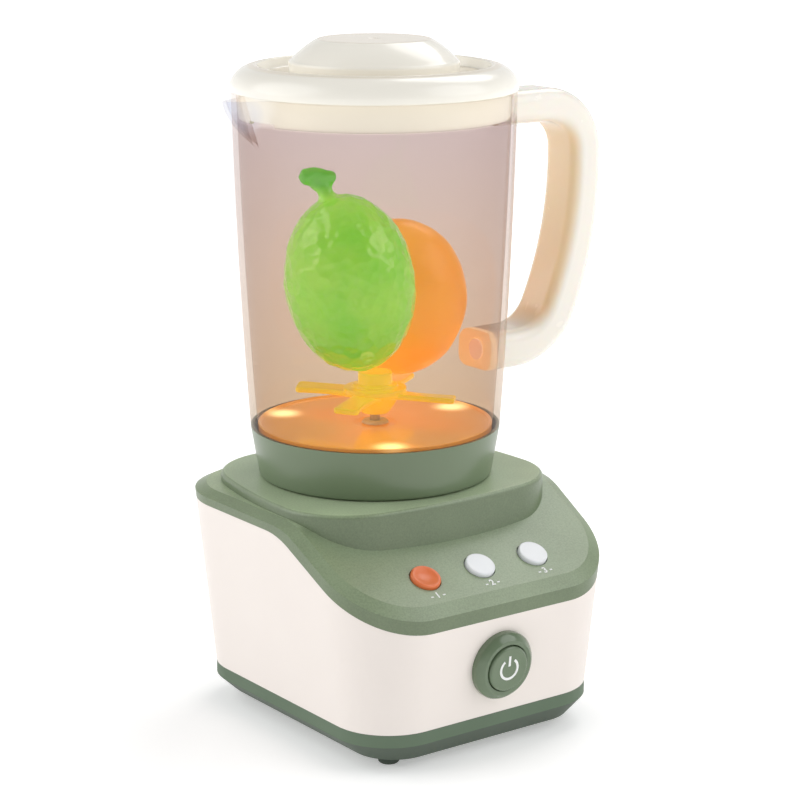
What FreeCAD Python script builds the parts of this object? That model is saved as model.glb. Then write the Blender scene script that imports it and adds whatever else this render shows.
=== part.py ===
import FreeCAD, Part
import math
import os
import re
import Sketcher
from FreeCAD import Placement, Rotation, Vector

# Toy blender: a battery base with a sloping button panel, a clear lift-off jar with a
# rotor that stirs play fruit, and a lift-off lid.
# Millimetres and degrees. Z is up, the panel faces -Y and the handle points to +X.
# Heights are above the floor under the feet. Plan sizes of the base pieces are about the
# base's own centre, and those of the jar, rotor and lid pieces about the jar's axis.

sizes = {
    # where the two centre lines stand, so that the origin is under the middle of the whole
    "baseX": -20.0,
    "jarY": 15.6,
    # base housing
    "housingWidth": 115.0,
    "housingDepth": 127.0,
    "housingCorner": 23.9,
    "wallLean": 6.05,
    "cornerFlare": 0.12,
    "undersideZ": 3.8,
    "bandZ": 11.0,
    "seamZ": 16.0,
    "flareTopZ": 100.0,
    "sideInset": 8.0,
    "frontInset": 5.5,
    "soleCorner": 17.0,
    "housingWall": 2.2,
    # sloping seam between the shell and the cover, and the cover's upper face
    "panelAngle": 27.7,
    "seamRearZ": 86.0,
    "seamFrontZ": 56.0,
    "seamFrontY": -67.6,
    "bendRadius": 32.0,
    "coverRearZ": 91.5,
    "panelFrontZ": 64.0,
    "panelFrontY": -68.0,
    "edgeDrop": 2.2,
    "edgeIn": 4.8,
    # raised seat for the jar
    "seatHalfWidth": 60.0,
    "seatRearY": 67.5,
    "seatFrontY": -38.6,
    "seatFrontCorner": 30.0,
    "seatRearCorner": 32.0,
    "seatBow": 260.0,
    "seatSideBow": 210.0,
    "seatTopZ": 95.2,
    "seatEdge": 1.8,
    "seatRingRadius": 43.6,
    "seatRingWall": 1.8,
    "seatRingHeight": 2.8,
    # case posts and screws
    "postX": 44.0,
    "postFrontY": -22.0,
    "postRearY": 30.0,
    "postRadius": 4.0,
    "postFootZ": 15.8,
    "screwHole": 1.5,
    "screwShank": 1.4,
    "screwHead": 2.9,
    "screwTipZ": 28.0,
    "counterboreZ": 8.6,
    # feet
    "footX": 39.2,
    "footY": 47.2,
    "footRadius": 4.1,
    "footPeg": 1.95,
    # battery bay, cells and door
    "bayLength": 64.0,
    "bayWidth": 48.0,
    "bayY": 22.0,
    "bayWall": 2.2,
    "bayRoofZ": 22.2,
    "doorThick": 2.0,
    "doorGap": 0.25,
    "cellRadius": 7.1,
    "cellLength": 50.0,
    "cellPitch": 15.4,
    # loudspeaker
    "speakerY": -33.0,
    "speakerRadius": 18.0,
    "speakerHeight": 11.5,
    # panel buttons
    "buttonRadius": 6.0,
    "buttonHole": 6.35,
    "buttonRise": 1.5,
    "buttonPitch": 26.0,
    "buttonY": -52.6,
    "buttonFlange": 7.6,
    "boardDrop": 11.0,
    "boardThick": 1.6,
    "boardLength": 66.0,
    "boardWidth": 16.0,
    "boardPostX": 13.0,
    "boardPostRadius": 2.8,
    "boardScrew": 1.1,
    "boardScrewHead": 2.1,
    # round power button on the front wall
    "powerZ": 36.5,
    "bezelRadius": 13.65,
    "bezelNose": 11.4,
    "bezelRise": 5.0,
    "bezelBore": 9.35,
    "bezelBarrel": 10.5,
    "powerRadius": 9.1,
    "powerRise": 6.0,
    "powerPostX": 14.5,
    "powerBoardDrop": 14.4,
    # drive train
    "toothModule": 0.9,
    "gearTeeth": 32,
    "pinionTeeth": 10,
    "gearZ": 71.0,
    "gearThick": 5.0,
    "shaftRadius": 2.0,
    "shaftBore": 2.06,
    "frameZ": 66.0,
    "framePlate": 2.5,
    "frameRadius": 31.0,
    "hangerRadius": 26.0,
    "hangerPost": 3.2,
    "motorLength": 25.0,
    "motorRadius": 10.05,
    "motorFlat": 7.55,
    "motorShaft": 1.0,
    "couplerRadius": 8.5,
    "dogWidth": 2.6,
    "dogHeight": 3.4,
    "driveCouplerZ": 96.1,
    "couplerDisc": 2.9,
    "drivenCouplerZ": 103.0,
    # light ring under the seat
    "lightRadius": 36.0,
    "lightTurn": 3.0,
    "lightBoardZ": 85.0,
    "lensRadius": 3.2,
    # jar
    "collarFootZ": 95.5,
    "collarTopZ": 115.35,
    "collarFoot": 46.6,
    "collarTop": 49.85,
    "collarInnerFoot": 44.6,
    "collarStepZ": 110.4,
    "jarBow": 2570.0,
    "jarRimZ": 248.3,
    "jarRim": 55.65,
    "jarWall": 2.0,
    "floorShelfZ": 113.5,
    "floorThick": 1.8,
    "floorRadius": 46.9,
    "spoutReach": 69.4,
    "spoutFootZ": 230.5,
    "spoutHalf": 15.0,
    "spoutRoot": 47.0,
    # handle
    "handleWidth": 21.9,
    "handleRound": 4.6,
    "handleTopZ": 244.1,
    "handleReach": 109.3,
    "handleBackZ": 211.1,
    "crownRadius": 27.5,
    "backRadius": 154.8,
    "heelRadius": 34.1,
    "gripTopZ": 230.5,
    "gripThick": 15.0,
    "gripCrown": 13.2,
    "gripBack": 140.5,
    "gripHeel": 16.1,
    "handleFootZ": 130.3,
    "gripFootZ": 146.3,
    "pegRadius": 4.3,
    "pegLength": 5.0,
    "pegZ": 138.4,
    "lugZ": 237.4,
    "lugWidth": 10.0,
    "lugHeight": 8.0,
    # rotor
    "bladeReach": 34.6,
    "bladeZ": 126.0,
    "bladeThick": 2.2,
    "bladePitch": 4.0,
    "bladeTurn": 34.2,
    "hubFootZ": 122.4,
    "hubTopZ": 136.2,
    # lid
    "lidFlangeZ": 248.6,
    "lidFlange": 56.2,
    "lidSkirt": 52.9,
    "lidSkirtZ": 237.8,
    "pourGap": 17.0,
    "lidRim": 46.8,
    "lidRimZ": 258.2,
    "lidHole": 31.6,
    "capRadius": 33.2,
    "capSeatZ": 253.7,
    "capTopZ": 268.15,
    "capTop": 21.7,
    # play fruit, about their own centres
    "viewTurn": -36.3,
    "limeAcross": 26.0,
    "limeThick": 25.9,
    "limeTall": 35.4,
    "limeTilt": 8.0,
    "limeSide": -9.4,
    "limeBack": -22.7,
    "limeZ": 176.2,
    "orangeAcross": 27.6,
    "orangeThick": 23.6,
    "orangeTall": 32.2,
    "orangeSide": 9.8,
    "orangeBack": 22.9,
    "orangeZ": 161.9,
}

doc = FreeCAD.newDocument("ToyBlender")
sheet = doc.addObject("Spreadsheet::Sheet", "Sizes")
for row, (alias, number) in enumerate(sizes.items(), 1):
    sheet.set(f"A{row}", alias)
    sheet.set(f"B{row}", str(number))
    sheet.setAlias(f"B{row}", alias)
doc.recompute()

pieces = []


# ---------------------------------------------------------------- expressions and placing


def bound(expression):
    """The expression with every driving dimension read from the sheet."""
    return re.sub(r"[A-Za-z]\w*", lambda m: f"Sizes.{m[0]}" if m[0] in sizes else m[0], str(expression))


def value(expression):
    """The number that an expression of driving dimensions has now."""
    return float(sheet.evalExpression(str(expression)))


def place(piece, x="baseX", y="0", z="0", tilt=None, turn=None):
    """Puts a piece's own origin at x, y, z, tilted about X or turned about Z."""
    if tilt is not None:
        piece.Placement = Placement(Vector(), Rotation(Vector(1, 0, 0), value(tilt)))
        piece.setExpression("Placement.Rotation.Angle", bound(tilt))
    if turn is not None:
        piece.Placement = Placement(Vector(), Rotation(Vector(0, 0, 1), value(turn)))
        piece.setExpression("Placement.Rotation.Angle", bound(turn))
    piece.setExpression("Placement.Base.x", bound(x))
    piece.setExpression("Placement.Base.y", bound(y))
    piece.setExpression("Placement.Base.z", bound(z))


def keep(piece, label):
    """Names a finished sub-part and lists it for export."""
    piece.Label = label
    pieces.append(piece)
    return piece


# ---------------------------------------------------------------- sketches and features


def new_body(name):
    return doc.addObject("PartDesign::Body", name)


def new_sketch(body, plane="XY", lift="0", tilt=None, y="0"):
    """A sketch on one of the body's own planes, lifted along it and tilted about X."""
    sketch = body.newObject("Sketcher::SketchObject", "Sketch")
    role = plane + "_Plane"
    sketch.AttachmentSupport = [(next(f for f in body.Origin.OriginFeatures if f.Role == role), "")]
    sketch.MapMode = "FlatFace"
    if tilt is not None:
        sketch.AttachmentOffset = Placement(Vector(), Rotation(Vector(1, 0, 0), value(tilt)))
        sketch.setExpression("AttachmentOffset.Rotation.Angle", bound(tilt))
    sketch.setExpression("AttachmentOffset.Base.y", bound(y))
    sketch.setExpression("AttachmentOffset.Base.z", bound(lift))
    return sketch


def bind_constraint(sketch, kind, expression, *where):
    """A sketch dimension that follows an expression of the driving dimensions."""
    index = sketch.addConstraint(Sketcher.Constraint(kind, *where, value(expression)))
    sketch.setExpression(f"Constraints[{index}]", bound(expression))


def draw_outline(sketch, points):
    """A closed outline of points (x, y) or (x, y, radius).

    A radius makes the stretch to the next point an arc, bulging to the right of the way
    there when it is positive and to the left when it is negative.
    """
    spots = [Vector(value(p[0]), value(p[1]), 0) for p in points]
    first = None
    for i, point in enumerate(points):
        start, end = spots[i], spots[(i + 1) % len(spots)]
        if len(point) == 2:
            edge = sketch.addGeometry(Part.LineSegment(start, end), False)
            head, tail = 1, 2
        else:
            radius = value(point[2])
            chord = end - start
            left = Vector(-chord.y, chord.x, 0).normalize()
            rise = math.sqrt(max(radius ** 2 - (chord.Length / 2) ** 2, 0.0))
            centre = start + chord * 0.5 + left * math.copysign(rise, radius)
            a, b = (start, end) if radius > 0 else (end, start)
            circle = Part.Circle(centre, Vector(0, 0, 1), abs(radius))
            low = math.atan2(a.y - centre.y, a.x - centre.x)
            high = math.atan2(b.y - centre.y, b.x - centre.x)
            high += 2 * math.pi if high < low else 0
            edge = sketch.addGeometry(Part.ArcOfCircle(circle, low, high), False)
            head, tail = (1, 2) if radius > 0 else (2, 1)
            bind_constraint(sketch, "Radius", f"abs({point[2]})", edge)
        bind_constraint(sketch, "DistanceX", point[0], edge, head)
        bind_constraint(sketch, "DistanceY", point[1], edge, head)
        if first is None:
            first = (edge, head)
        else:
            sketch.addConstraint(Sketcher.Constraint("Coincident", last[0], last[1], edge, head))
        last = (edge, tail)
    sketch.addConstraint(Sketcher.Constraint("Coincident", last[0], last[1], *first))


def draw_box(sketch, width, depth, corner=None, x="0", y="0"):
    """A rectangle about x, y, with rounded corners if a corner radius is given."""
    w, d = f"({width}) / 2", f"({depth}) / 2"
    if corner is None:
        draw_outline(sketch, [(f"{x} + {w}", f"{y} - {d}"), (f"{x} + {w}", f"{y} + {d}"),
                              (f"{x} - {w}", f"{y} + {d}"), (f"{x} - {w}", f"{y} - {d}")])
        return
    c = f"({corner})"
    draw_outline(sketch, [
        (f"{x} + {w}", f"{y} - {d} + {c}"), (f"{x} + {w}", f"{y} + {d} - {c}", corner),
        (f"{x} + {w} - {c}", f"{y} + {d}"), (f"{x} - {w} + {c}", f"{y} + {d}", corner),
        (f"{x} - {w}", f"{y} + {d} - {c}"), (f"{x} - {w}", f"{y} - {d} + {c}", corner),
        (f"{x} - {w} + {c}", f"{y} - {d}"), (f"{x} + {w} - {c}", f"{y} - {d}", corner),
    ])


def draw_circle(sketch, radius, x="0", y="0"):
    centre = Vector(value(x), value(y), 0)
    edge = sketch.addGeometry(Part.Circle(centre, Vector(0, 0, 1), value(radius)), False)
    bind_constraint(sketch, "Radius", radius, edge)
    bind_constraint(sketch, "DistanceX", x, edge, 3)
    bind_constraint(sketch, "DistanceY", y, edge, 3)


def extrude(body, kind, sketch, length=None, back=False, both=False):
    """A Pad or a Pocket. A pocket with no length goes through everything."""
    feature = body.newObject(f"PartDesign::{kind}", kind)
    feature.Profile = sketch
    feature.Reversed = back
    feature.SideType = "Symmetric" if both else "One side"
    if length is None:
        feature.Type = "ThroughAll"
    else:
        feature.setExpression("Length", bound(length))
    return feature


def pad(body, sketch, length, **more):
    return extrude(body, "Pad", sketch, length, **more)


def pocket(body, sketch, length=None, **more):
    return extrude(body, "Pocket", sketch, length, **more)


def spin(body, points, kind="Revolution", plane="XZ"):
    """Turns an outline of (radius, height) points about the body's own Z axis."""
    sketch = new_sketch(body, plane)
    draw_outline(sketch, points)
    feature = body.newObject(f"PartDesign::{kind}", kind)
    feature.Profile = sketch
    feature.ReferenceAxis = (sketch, ["V_Axis"])
    feature.Angle = 360
    return feature


def loft(body, sketches, kind="AdditiveLoft", ruled=True):
    feature = body.newObject(f"PartDesign::{kind}", kind)
    feature.Profile = sketches[0]
    feature.Sections = sketches[1:]
    feature.Ruled = ruled
    return feature


def repeat_round(body, feature, count):
    pattern = body.newObject("PartDesign::PolarPattern", "PolarPattern")
    pattern.Originals = [feature]
    pattern.Axis = (next(f for f in body.Origin.OriginFeatures if f.Role == "Z_Axis"), [""])
    pattern.Angle = 360
    pattern.Occurrences = count
    body.Tip = pattern
    return pattern


def round_edges(body, wanted, radius, kind="Fillet"):
    """A fillet or chamfer on the edges of the body so far that the test picks out."""
    doc.recompute()
    base = body.Tip
    names = [f"Edge{i}" for i, edge in enumerate(base.Shape.Edges, 1) if wanted(edge)]
    feature = body.newObject(f"PartDesign::{kind}", kind)
    feature.Base = (base, names)
    feature.setExpression("Radius" if kind == "Fillet" else "Size", bound(radius))
    return feature


def at_height(z):
    """Picks the edges that lie wholly at one height."""
    level = value(z)
    return lambda e: abs(e.BoundBox.ZMin - level) < 0.01 and abs(e.BoundBox.ZMax - level) < 0.01


def combine(kind, name, first, *others):
    """A Part boolean of two or more objects."""
    if kind == "Cut":
        result = doc.addObject("Part::Cut", name)
        result.Base, result.Tool = first, others[0]
    else:
        result = doc.addObject(f"Part::Multi{kind}", name)
        result.Shapes = [first, *others]
    return result


def post(body, points, radius, foot, top, hole=None):
    """Round posts at the given x, y points, from foot up to top, with a blind screw hole."""
    sketch = new_sketch(body, lift=foot)
    for x, y in points:
        draw_circle(sketch, radius, x, y)
        if hole is not None:
            draw_circle(sketch, hole, x, y)
    return pad(body, sketch, f"{top} - ({foot})")


flare = "tan(wallLean * 1deg)"
slope = "tan(panelAngle * 1deg)"
powerY = f"0 - housingDepth / 2 - (powerZ - seamZ) * {flare}"
buttonZ = f"panelFrontZ + (buttonY - panelFrontY) * {slope}"
gearDistance = "toothModule * (gearTeeth + pinionTeeth) / 2 + 0.05"
casePosts = [("postX", "postFrontY"), ("-postX", "postFrontY"), ("-postX", "postRearY"), ("postX", "postRearY")]
footSpots = [("footX", "footY"), ("-footX", "footY"), ("-footX", "-footY"), ("footX", "-footY")]


def ring_spots(radius, start, count):
    """Points spread evenly round a circle, as pairs of expressions."""
    angles = [f"(({start} + {360 * i / count:g}) * 1deg)" for i in range(count)]
    return [(f"{radius} * cos({a})", f"{radius} * sin({a})") for a in angles]


# ---------------------------------------------------------------- base housing


def wall_section(body, z, inset="0"):
    """The housing's rounded rectangle at a height: it grows upwards, like a draft."""
    sketch = new_sketch(body, lift=z)
    grow = f"2 * {flare} * ({z} - seamZ) - 2 * ({inset})"
    corner = f"housingCorner + cornerFlare * ({z} - seamZ) - ({inset})"
    draw_box(sketch, f"housingWidth + {grow}", f"housingDepth + {grow}", corner)
    return sketch


def housing_block(body, foot, inset="0", kind="AdditiveLoft"):
    return loft(body, [wall_section(body, foot, inset), wall_section(body, "flareTopZ", inset)], kind)


def side_profile(body, rear, front, front_y, above):
    """Outline in the YZ plane of all that lies above or below a flat rear face, a bend
    and a slope down to the front."""
    crest = f"{front_y} + ({rear} - ({front})) / tan(panelAngle * 1deg)"
    run = "bendRadius * tan(panelAngle * 0.5deg)"
    far = "2 * housingDepth"
    end = "flareTopZ + 20" if above else "0 - 20"
    sketch = new_sketch(body, "YZ")
    points = [(far, rear), (f"{crest} + {run}", rear, "bendRadius"),
              (f"{crest} - {run} * cos(panelAngle * 1deg)", f"{rear} - {run} * sin(panelAngle * 1deg)"),
              (f"0 - {far}", f"{front} - ({far} + {front_y}) * {slope}"), (f"0 - {far}", end), (far, end)]
    draw_outline(sketch, points)
    return pocket(body, sketch, both=True)


def make_shell():
    body = new_body("Shell")
    housing_block(body, "seamZ")
    side_profile(body, "seamRearZ", "seamFrontZ", "seamFrontY", above=True)
    housing_block(body, "seamZ", "housingWall", "SubtractiveLoft")
    # two posts behind the front wall carry the power switch's board
    posts = new_sketch(body, lift="powerZ", tilt="90 + wallLean", y=powerY)
    for side in ("powerPostX", "0 - powerPostX"):
        draw_circle(posts, "boardPostRadius", side)
        draw_circle(posts, "boardScrew + 0.05", side)
    pad(body, posts, "powerBoardDrop", back=True)
    opening = new_sketch(body, lift="powerZ", tilt="90 + wallLean", y=powerY)
    draw_circle(opening, "bezelBarrel + 0.05")
    pocket(body, opening, "20", both=True)
    place(body)
    return keep(body, "shell")


def draw_seat(sketch, inset="0"):
    """The jar seat's outline: bowed front and sides that narrow to a straight rear."""
    i = f"({inset})"
    half = f"(seatHalfWidth - {i})"
    front = f"(seatFrontCorner - {i})"
    rear = f"(seatRearCorner - {i})"
    bow = f"(seatBow - {i})"
    flank = f"(seatSideBow - {i})"
    nose = f"(seatFrontY + {i})"
    top = f"(seatRearY - {i})"
    # the front corner arc is tangent to both the side and the bowed front
    side = f"({half} - {front})"
    back = f"({nose} + {bow} - sqrt(({bow} - {front}) ^ 2 - {side} ^ 2))"
    share = f"({bow} / ({bow} - {front}))"
    touchX = f"{side} * {share}"
    touchY = f"{nose} + {bow} - ({nose} + {bow} - {back}) * {share}"
    # the rear corner arc is tangent to the bowed side and the rear
    rise = f"({top} - {rear} - {back})"
    run = f"sqrt(({flank} - {rear}) ^ 2 - {rise} ^ 2)"
    reach = f"({flank} / ({flank} - {rear}))"
    cornerX = f"({half} - {flank} + {run})"
    turnX = f"({half} - {flank} + {run} * {reach})"
    turnY = f"({back} + {rise} * {reach})"
    draw_outline(sketch, [
        (half, back, flank), (turnX, turnY, rear), (cornerX, top),
        (f"0 - {cornerX}", top, rear), (f"0 - {turnX}", turnY, flank),
        (f"0 - {half}", back, front), (f"0 - {touchX}", touchY, bow), (touchX, touchY, front),
    ])


def make_cover():
    """The panel and jar seat in one moulding, with an inclined deck, a raised seat, a
    bevel all round and the posts that carry the mechanism."""
    outer = new_body("CoverOuter")
    housing_block(outer, "seamZ")
    side_profile(outer, "coverRearZ", "panelFrontZ", "panelFrontY", above=True)
    doc.recompute()

    def deck_rim(edge):
        spot = edge.valueAt((edge.FirstParameter + edge.LastParameter) / 2)
        faces = outer.Tip.Shape.ancestorsOfType(edge, Part.Face)
        tilts = sorted(abs(f.normalAt(*f.Surface.parameter(spot)).z) for f in faces)
        return spot.z > value("seamFrontZ") and tilts[0] < 0.3 and tilts[-1] > 0.7

    bevel = round_edges(outer, deck_rim, "edgeDrop", "Chamfer")
    bevel.ChamferType = "Two distances"
    bevel.setExpression("Size2", bound("edgeIn"))
    seat = new_sketch(outer, lift="panelFrontZ - 2")
    draw_seat(seat)
    pad(outer, seat, "seatTopZ - panelFrontZ + 2")
    round_edges(outer, at_height("seatTopZ"), "seatEdge")
    side_profile(outer, "seamRearZ", "seamFrontZ", "seamFrontY", above=False)
    ring = new_sketch(outer, lift="seatTopZ - 1", y="jarY")
    draw_circle(ring, "seatRingRadius")
    draw_circle(ring, "seatRingRadius - seatRingWall")
    pad(outer, ring, "seatRingHeight + 1")
    holes = new_sketch(outer, lift="seatTopZ + 4", y="jarY")
    draw_circle(holes, "4.05")
    for spot in ring_spots("lightRadius", "lightTurn", 3):
        draw_circle(holes, "lensRadius", *spot)
    pocket(outer, holes, "12")
    buttons = new_sketch(outer, lift=buttonZ, tilt="panelAngle", y="buttonY")
    for step in ("0 - buttonPitch", "0", "buttonPitch"):
        draw_circle(buttons, "buttonHole", step)
    pocket(outer, buttons, "12", both=True)

    core = new_body("CoverCore")
    housing_block(core, "seamZ", "housingWall")
    side_profile(core, "coverRearZ - housingWall", "panelFrontZ - housingWall / cos(panelAngle * 1deg)",
                 "panelFrontY", above=True)
    seat = new_sketch(core, lift="panelFrontZ - 2")
    draw_seat(seat, "housingWall")
    pad(core, seat, "seatTopZ - housingWall - panelFrontZ + 2")

    posts = new_body("CoverPosts")
    post(posts, casePosts, "postRadius", "postFootZ", "seatTopZ - 1.2", "screwHole")
    hangers = [(x, f"jarY + {y}") for x, y in ring_spots("hangerRadius", "45", 4)]
    post(posts, hangers, "hangerPost", "frameZ + framePlate", "seatTopZ - 1.2", "boardScrew + 0.05")
    spots = [(x, f"jarY + {y}") for x, y in ring_spots("lightRadius", "lightTurn + 60", 3)]
    post(posts, spots, "boardPostRadius", "lightBoardZ + boardThick", "seatTopZ - 1.2", "boardScrew + 0.05")
    board = new_sketch(posts, lift=buttonZ, tilt="panelAngle", y="buttonY")
    for side in ("boardPostX", "0 - boardPostX"):
        draw_circle(board, "boardPostRadius", side)
        draw_circle(board, "boardScrew + 0.05", side)
    pad(posts, board, "boardDrop", back=True)
    trim = new_sketch(posts, lift=buttonZ, tilt="panelAngle", y="buttonY")
    draw_box(trim, "boardLength", "boardWidth")
    pocket(posts, trim, "housingWall / 2")

    hollow = combine("Cut", "CoverHollow", outer, core)
    cover = combine("Fuse", "TopCover", hollow, posts)
    place(cover)
    return keep(cover, "top_cover")


def make_base_plate():
    body = new_body("BasePlate")
    outside = ("housingWidth", "housingDepth", "housingCorner")
    sole = ("housingWidth - 2 * sideInset", "housingDepth - 2 * frontInset", "soleCorner")

    def thinner(outline, by):
        """The same rounded rectangle, moved inwards all round."""
        width, depth, corner = outline
        return f"{width} - 2 * ({by})", f"{depth} - 2 * ({by})", f"{corner} - ({by})"

    foot = new_sketch(body, lift="undersideZ")
    draw_box(foot, *sole)
    band = new_sketch(body, lift="bandZ")
    draw_box(band, *outside)
    loft(body, [foot, band])
    rim = new_sketch(body, lift="bandZ")
    draw_box(rim, *outside)
    pad(body, rim, "seamZ - bandZ")
    floor = new_sketch(body, lift="undersideZ + housingWall")
    draw_box(floor, *thinner(sole, "housingWall - 1"))
    brim = new_sketch(body, lift="bandZ")
    draw_box(brim, *thinner(outside, "housingWall"))
    loft(body, [floor, brim], "SubtractiveLoft")
    mouth = new_sketch(body, lift="seamZ")
    draw_box(mouth, *thinner(outside, "housingWall"))
    pocket(body, mouth, "seamZ - bandZ")
    # battery bay, the block under the door's screw, the speaker's ring and the screw bosses
    bay = new_sketch(body, lift="undersideZ + 0.5", y="bayY")
    draw_box(bay, "bayLength + 2 * bayWall", "bayWidth + 2 * bayWall")
    pad(body, bay, "bayRoofZ + 1.6 - undersideZ")
    block = new_sketch(body, lift="undersideZ + 0.5", y="bayY - bayWidth / 2 - 5")
    draw_box(block, "15", "10.4")
    pad(body, block, "8")
    ring = new_sketch(body, lift="undersideZ + 0.5", y="speakerY")
    draw_circle(ring, "speakerRadius + 2")
    draw_circle(ring, "speakerRadius + 0.2")
    pad(body, ring, "7")
    post(body, casePosts, "4.8", "undersideZ + 0.5", "postFootZ")
    space = new_sketch(body, lift="undersideZ", y="bayY")
    draw_box(space, "bayLength", "bayWidth")
    pocket(body, space, "bayRoofZ - undersideZ", back=True)
    tab = new_sketch(body, lift="undersideZ", y="bayY - bayWidth / 2 - 4")
    draw_box(tab, "12.5", "9")
    pocket(body, tab, "doorThick", back=True)
    slots = new_sketch(body, lift="undersideZ + doorThick + 0.1", y="bayY + bayWidth / 2 + 0.5")
    for side in ("18", "0 - 18"):
        draw_box(slots, "8.6", "2.4", x=side)
    pocket(body, slots, "1.8", back=True)
    heads = new_sketch(body, lift="undersideZ")
    for x, y in casePosts:
        draw_circle(heads, "screwHead + 0.2", x, y)
    pocket(body, heads, "counterboreZ - undersideZ", back=True)
    bores = new_sketch(body, lift="undersideZ")
    for x, y in casePosts:
        draw_circle(bores, "screwHole + 0.1", x, y)
    for x, y in footSpots:
        draw_circle(bores, "footPeg + 0.05", x, y)
    draw_circle(bores, "1.2", "0", "bayY - bayWidth / 2 - 5")
    for row in range(-2, 3):
        draw_box(bores, f"sqrt(14 ^ 2 - ({row} * 5) ^ 2) * 2", "2.2", "1", y=f"speakerY + {row} * 5")
    pocket(body, bores, "12", back=True)
    place(body)
    return keep(body, "base_plate")


def make_feet():
    body = new_body("Feet")
    pegs = new_sketch(body, lift="undersideZ")
    soles = new_sketch(body)
    for x, y in footSpots:
        draw_circle(pegs, "footPeg", x, y)
        draw_circle(soles, "footRadius", x, y)
    pad(body, soles, "undersideZ")
    pad(body, pegs, "housingWall + 0.8")
    round_edges(body, at_height("0"), "0.6", "Chamfer")
    place(body)
    return keep(body, "feet")


def make_screws(label, spots, head, shank, head_z, seat_z, tip_z, x="baseX", y="0"):
    """Pan-head screws put in from below, as one group."""
    body = new_body(label.title().replace("_", ""))
    heads = new_sketch(body, lift=head_z)
    shanks = new_sketch(body, lift=head_z)
    for spot in spots:
        draw_circle(heads, head, *spot)
        draw_circle(shanks, shank, *spot)
    pad(body, heads, f"{seat_z} - ({head_z})")
    pad(body, shanks, f"{tip_z} - ({head_z})")
    place(body, x, y)
    return keep(body, label)


def make_battery_door():
    body = new_body("BatteryDoor")
    plate = new_sketch(body, lift="undersideZ", y="bayY")
    draw_box(plate, "bayLength - 2 * doorGap", "bayWidth - 2 * doorGap")
    pad(body, plate, "doorThick")
    tab = new_sketch(body, lift="undersideZ", y="bayY - bayWidth / 2 - 3.5")
    draw_box(tab, "12", "9")
    pad(body, tab, "doorThick")
    ribs = new_sketch(body, lift="undersideZ", y="bayY + bayWidth / 2 - 1.3")
    hooks = new_sketch(body, lift="undersideZ + doorThick + 0.2", y="bayY + bayWidth / 2 - 0.5")
    for side in ("18", "0 - 18"):
        draw_box(ribs, "8", "1.8", x=side)
        draw_box(hooks, "8", "3.4", x=side)
    pad(body, ribs, "doorThick + 1.6")
    pad(body, hooks, "1.4")
    head = new_sketch(body, lift="undersideZ", y="bayY - bayWidth / 2 - 5")
    draw_circle(head, "2.3")
    pocket(body, head, "1.2", back=True)
    bore = new_sketch(body, lift="undersideZ", y="bayY - bayWidth / 2 - 5")
    draw_circle(bore, "1.2")
    pocket(body, bore, "doorThick + 0.5", back=True)
    # finger ribs across the outer face
    grip = new_sketch(body, lift="undersideZ", y="bayY - bayWidth / 2 + 8")
    for row in range(3):
        draw_box(grip, "22", "1.4", "0.69", y=f"{row} * 3.2")
    pocket(body, grip, "0.6", back=True)
    place(body)
    return keep(body, "battery_door")


def make_cells():
    """Three AA cells lying along X, the middle one the other way round."""
    body = new_body("Cells")
    level = "undersideZ + doorThick + 0.4 + cellRadius"
    tubes = new_sketch(body, "YZ", lift="0 - cellLength / 2")
    studs = new_sketch(body, "YZ", lift="cellLength / 2")
    stud = new_sketch(body, "YZ", lift="0 - cellLength / 2")
    for row in (-1, 0, 1):
        draw_circle(tubes, "cellRadius", f"bayY + {row} * cellPitch", level)
        draw_circle(stud if row == 0 else studs, "2.7", f"bayY + {row} * cellPitch", level)
    pad(body, tubes, "cellLength")
    pad(body, studs, "1.2")
    pad(body, stud, "1.2", back=True)
    place(body)
    return keep(body, "batteries")


def make_contacts():
    """Plates at both ends of the bay, with a conical spring against each negative end."""
    body = new_body("Contacts")
    level = "undersideZ + doorThick + 0.4 + cellRadius"
    for end in (1, -1):
        plates = new_sketch(body, "YZ", lift=f"{end} * (bayLength / 2 - 0.25)")
        springs = new_sketch(body, "YZ", lift=f"{end} * (bayLength / 2 - 0.5)")
        reach = "bayLength / 2 - 0.5 - cellLength / 2"
        bumps = new_sketch(body, "YZ", lift=f"{end} * (bayLength / 2 - 0.5)")
        for row in (-1, 0, 1):
            y = f"bayY + {row} * cellPitch"
            draw_box(plates, "11", "11", x=y, y=level)
            if (row == 0) == (end == 1):
                draw_circle(springs, "4.6", y, level)
            else:
                draw_circle(bumps, "2.2", y, level)
        pad(body, plates, "0.5", both=True)
        spring = pad(body, springs, reach, back=end == 1)
        spring.TaperAngle = -12
        pad(body, bumps, f"{reach} - 1.2", back=end == 1)
    place(body)
    return keep(body, "battery_contacts")


def make_speaker():
    body = new_body("Speaker")
    low = "undersideZ + housingWall"
    spin(body, [
        ("0", f"{low} + 3.0"), ("5", f"{low} + 1.6"), ("speakerRadius - 3", f"{low} + 2.6"),
        ("speakerRadius - 2", low), ("speakerRadius", low), ("speakerRadius", f"{low} + 1.6"),
        ("10.5", f"{low} + 6"), ("10.5", f"{low} + speakerHeight"), ("0", f"{low} + speakerHeight"),
    ])
    place(body, y="speakerY")
    return keep(body, "speaker")


# ---------------------------------------------------------------- power button and its switch


def place_on_front(piece):
    """The piece's own Z then points straight out of the leaning front wall."""
    place(piece, y=powerY, z="powerZ", tilt="90 + wallLean")


def make_power_bezel():
    body = new_body("PowerBezel")
    spin(body, [
        ("bezelBore", "-4.6"), ("bezelBarrel", "-4.6"), ("bezelBarrel", "0"), ("bezelRadius", "0"),
        ("bezelRadius", "2.2", "6.5"), ("bezelNose", "bezelRise - 0.2"), ("bezelNose - 0.9", "bezelRise"),
        ("bezelBore", "bezelRise - 0.5"),
    ])
    place_on_front(body)
    return keep(body, "power_bezel")


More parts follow.
